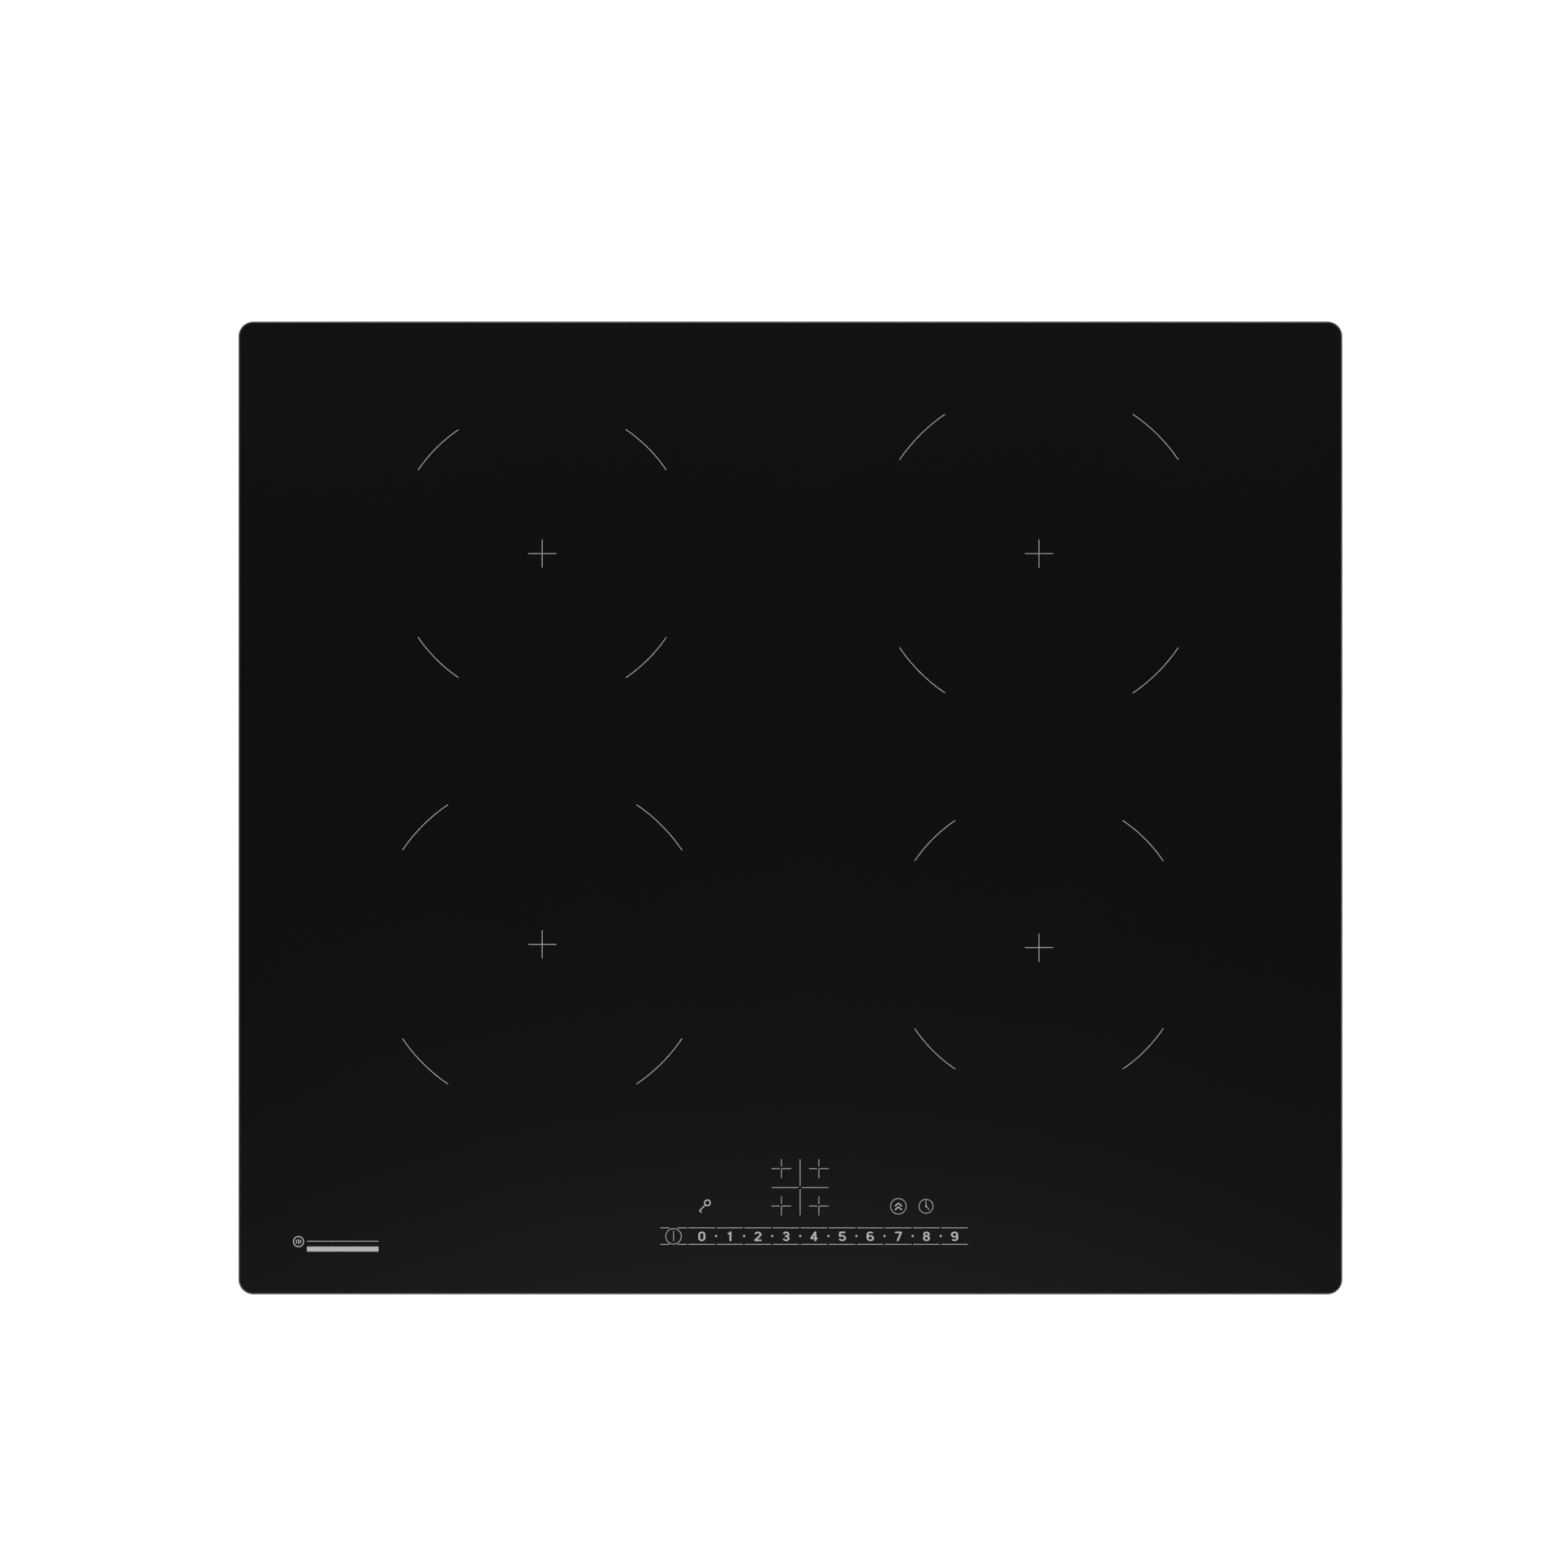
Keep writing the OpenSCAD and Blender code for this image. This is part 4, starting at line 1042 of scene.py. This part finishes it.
tree.links.new(clear.outputs[0], choice.inputs[2])
tree.links.new(choice.outputs[0], tree.nodes["Material Output"].inputs[0])
floor.data.materials.append(floor_paper)

sky = bpy.data.worlds.new("studio")
bpy.context.scene.world = sky
sky.use_nodes = True
tree = sky.node_tree
backdrop = tree.nodes["Background"]
backdrop.inputs["Color"].default_value = WHITE
way = Wire(tree, tree.nodes.new("ShaderNodeTexCoord").outputs["Generated"])
dx, dy, dz = way.axis("X"), way.axis("Y"), way.axis("Z")
under = dz < 0.0
reach = (dx * dx + dy * dy) ** 0.5
overhead = reach.between(0.82, 1.0, 0.10, 1.0)
horizon = 0.7 - dx * 0.42 - dy * 0.25
horizon = horizon.maths("MAXIMUM", overhead.between(0.1, 0.2, 1.0, 0.0))
height = dz.maths("MAXIMUM", 0.02)
lean_x, lean_y = dx / height, dy / height
glow_x = lean_x / GLOW_HALF_X
glow_y = (lean_y + GLOW_AHEAD) / GLOW_HALF_Y
front_glow = (0.0 - glow_y * glow_y - glow_x * glow_x).maths("EXPONENT") * GLOW
rear_glow = lean_y.between(0.02, 0.12, 0.0, 0.03)
strength = rear_glow + overhead * horizon + front_glow
strength = strength * (1 - under) + under * UNDER_LIGHT
seen = Wire(tree, tree.nodes.new("ShaderNodeLightPath").outputs["Is Camera Ray"])
strength = strength * (1 - seen) + seen
tree.links.new(strength.socket, backdrop.inputs["Strength"])


def softbox(name, place, size, watts):
    """A square light that faces the cooktop and isn't seen itself."""
    bpy.ops.object.light_add(type="AREA", location=place)
    box = bpy.context.active_object
    box.name = name
    box.data.shape = "SQUARE"
    box.data.size = size
    box.data.energy = watts
    box.rotation_euler = (-box.location).to_track_quat("-Z", "Y").to_euler()
    box.visible_camera = False
    box.visible_glossy = False


softbox("key_light", (-2.2, -1.3, 2.0), 1.6, 110)
softbox("fill_light", (2.4, 0.6, 1.8), 1.8, 60)
softbox("rear_light", (-0.4, 2.6, 1.5), 1.6, 40)

bpy.context.scene.view_settings.view_transform = "Standard"

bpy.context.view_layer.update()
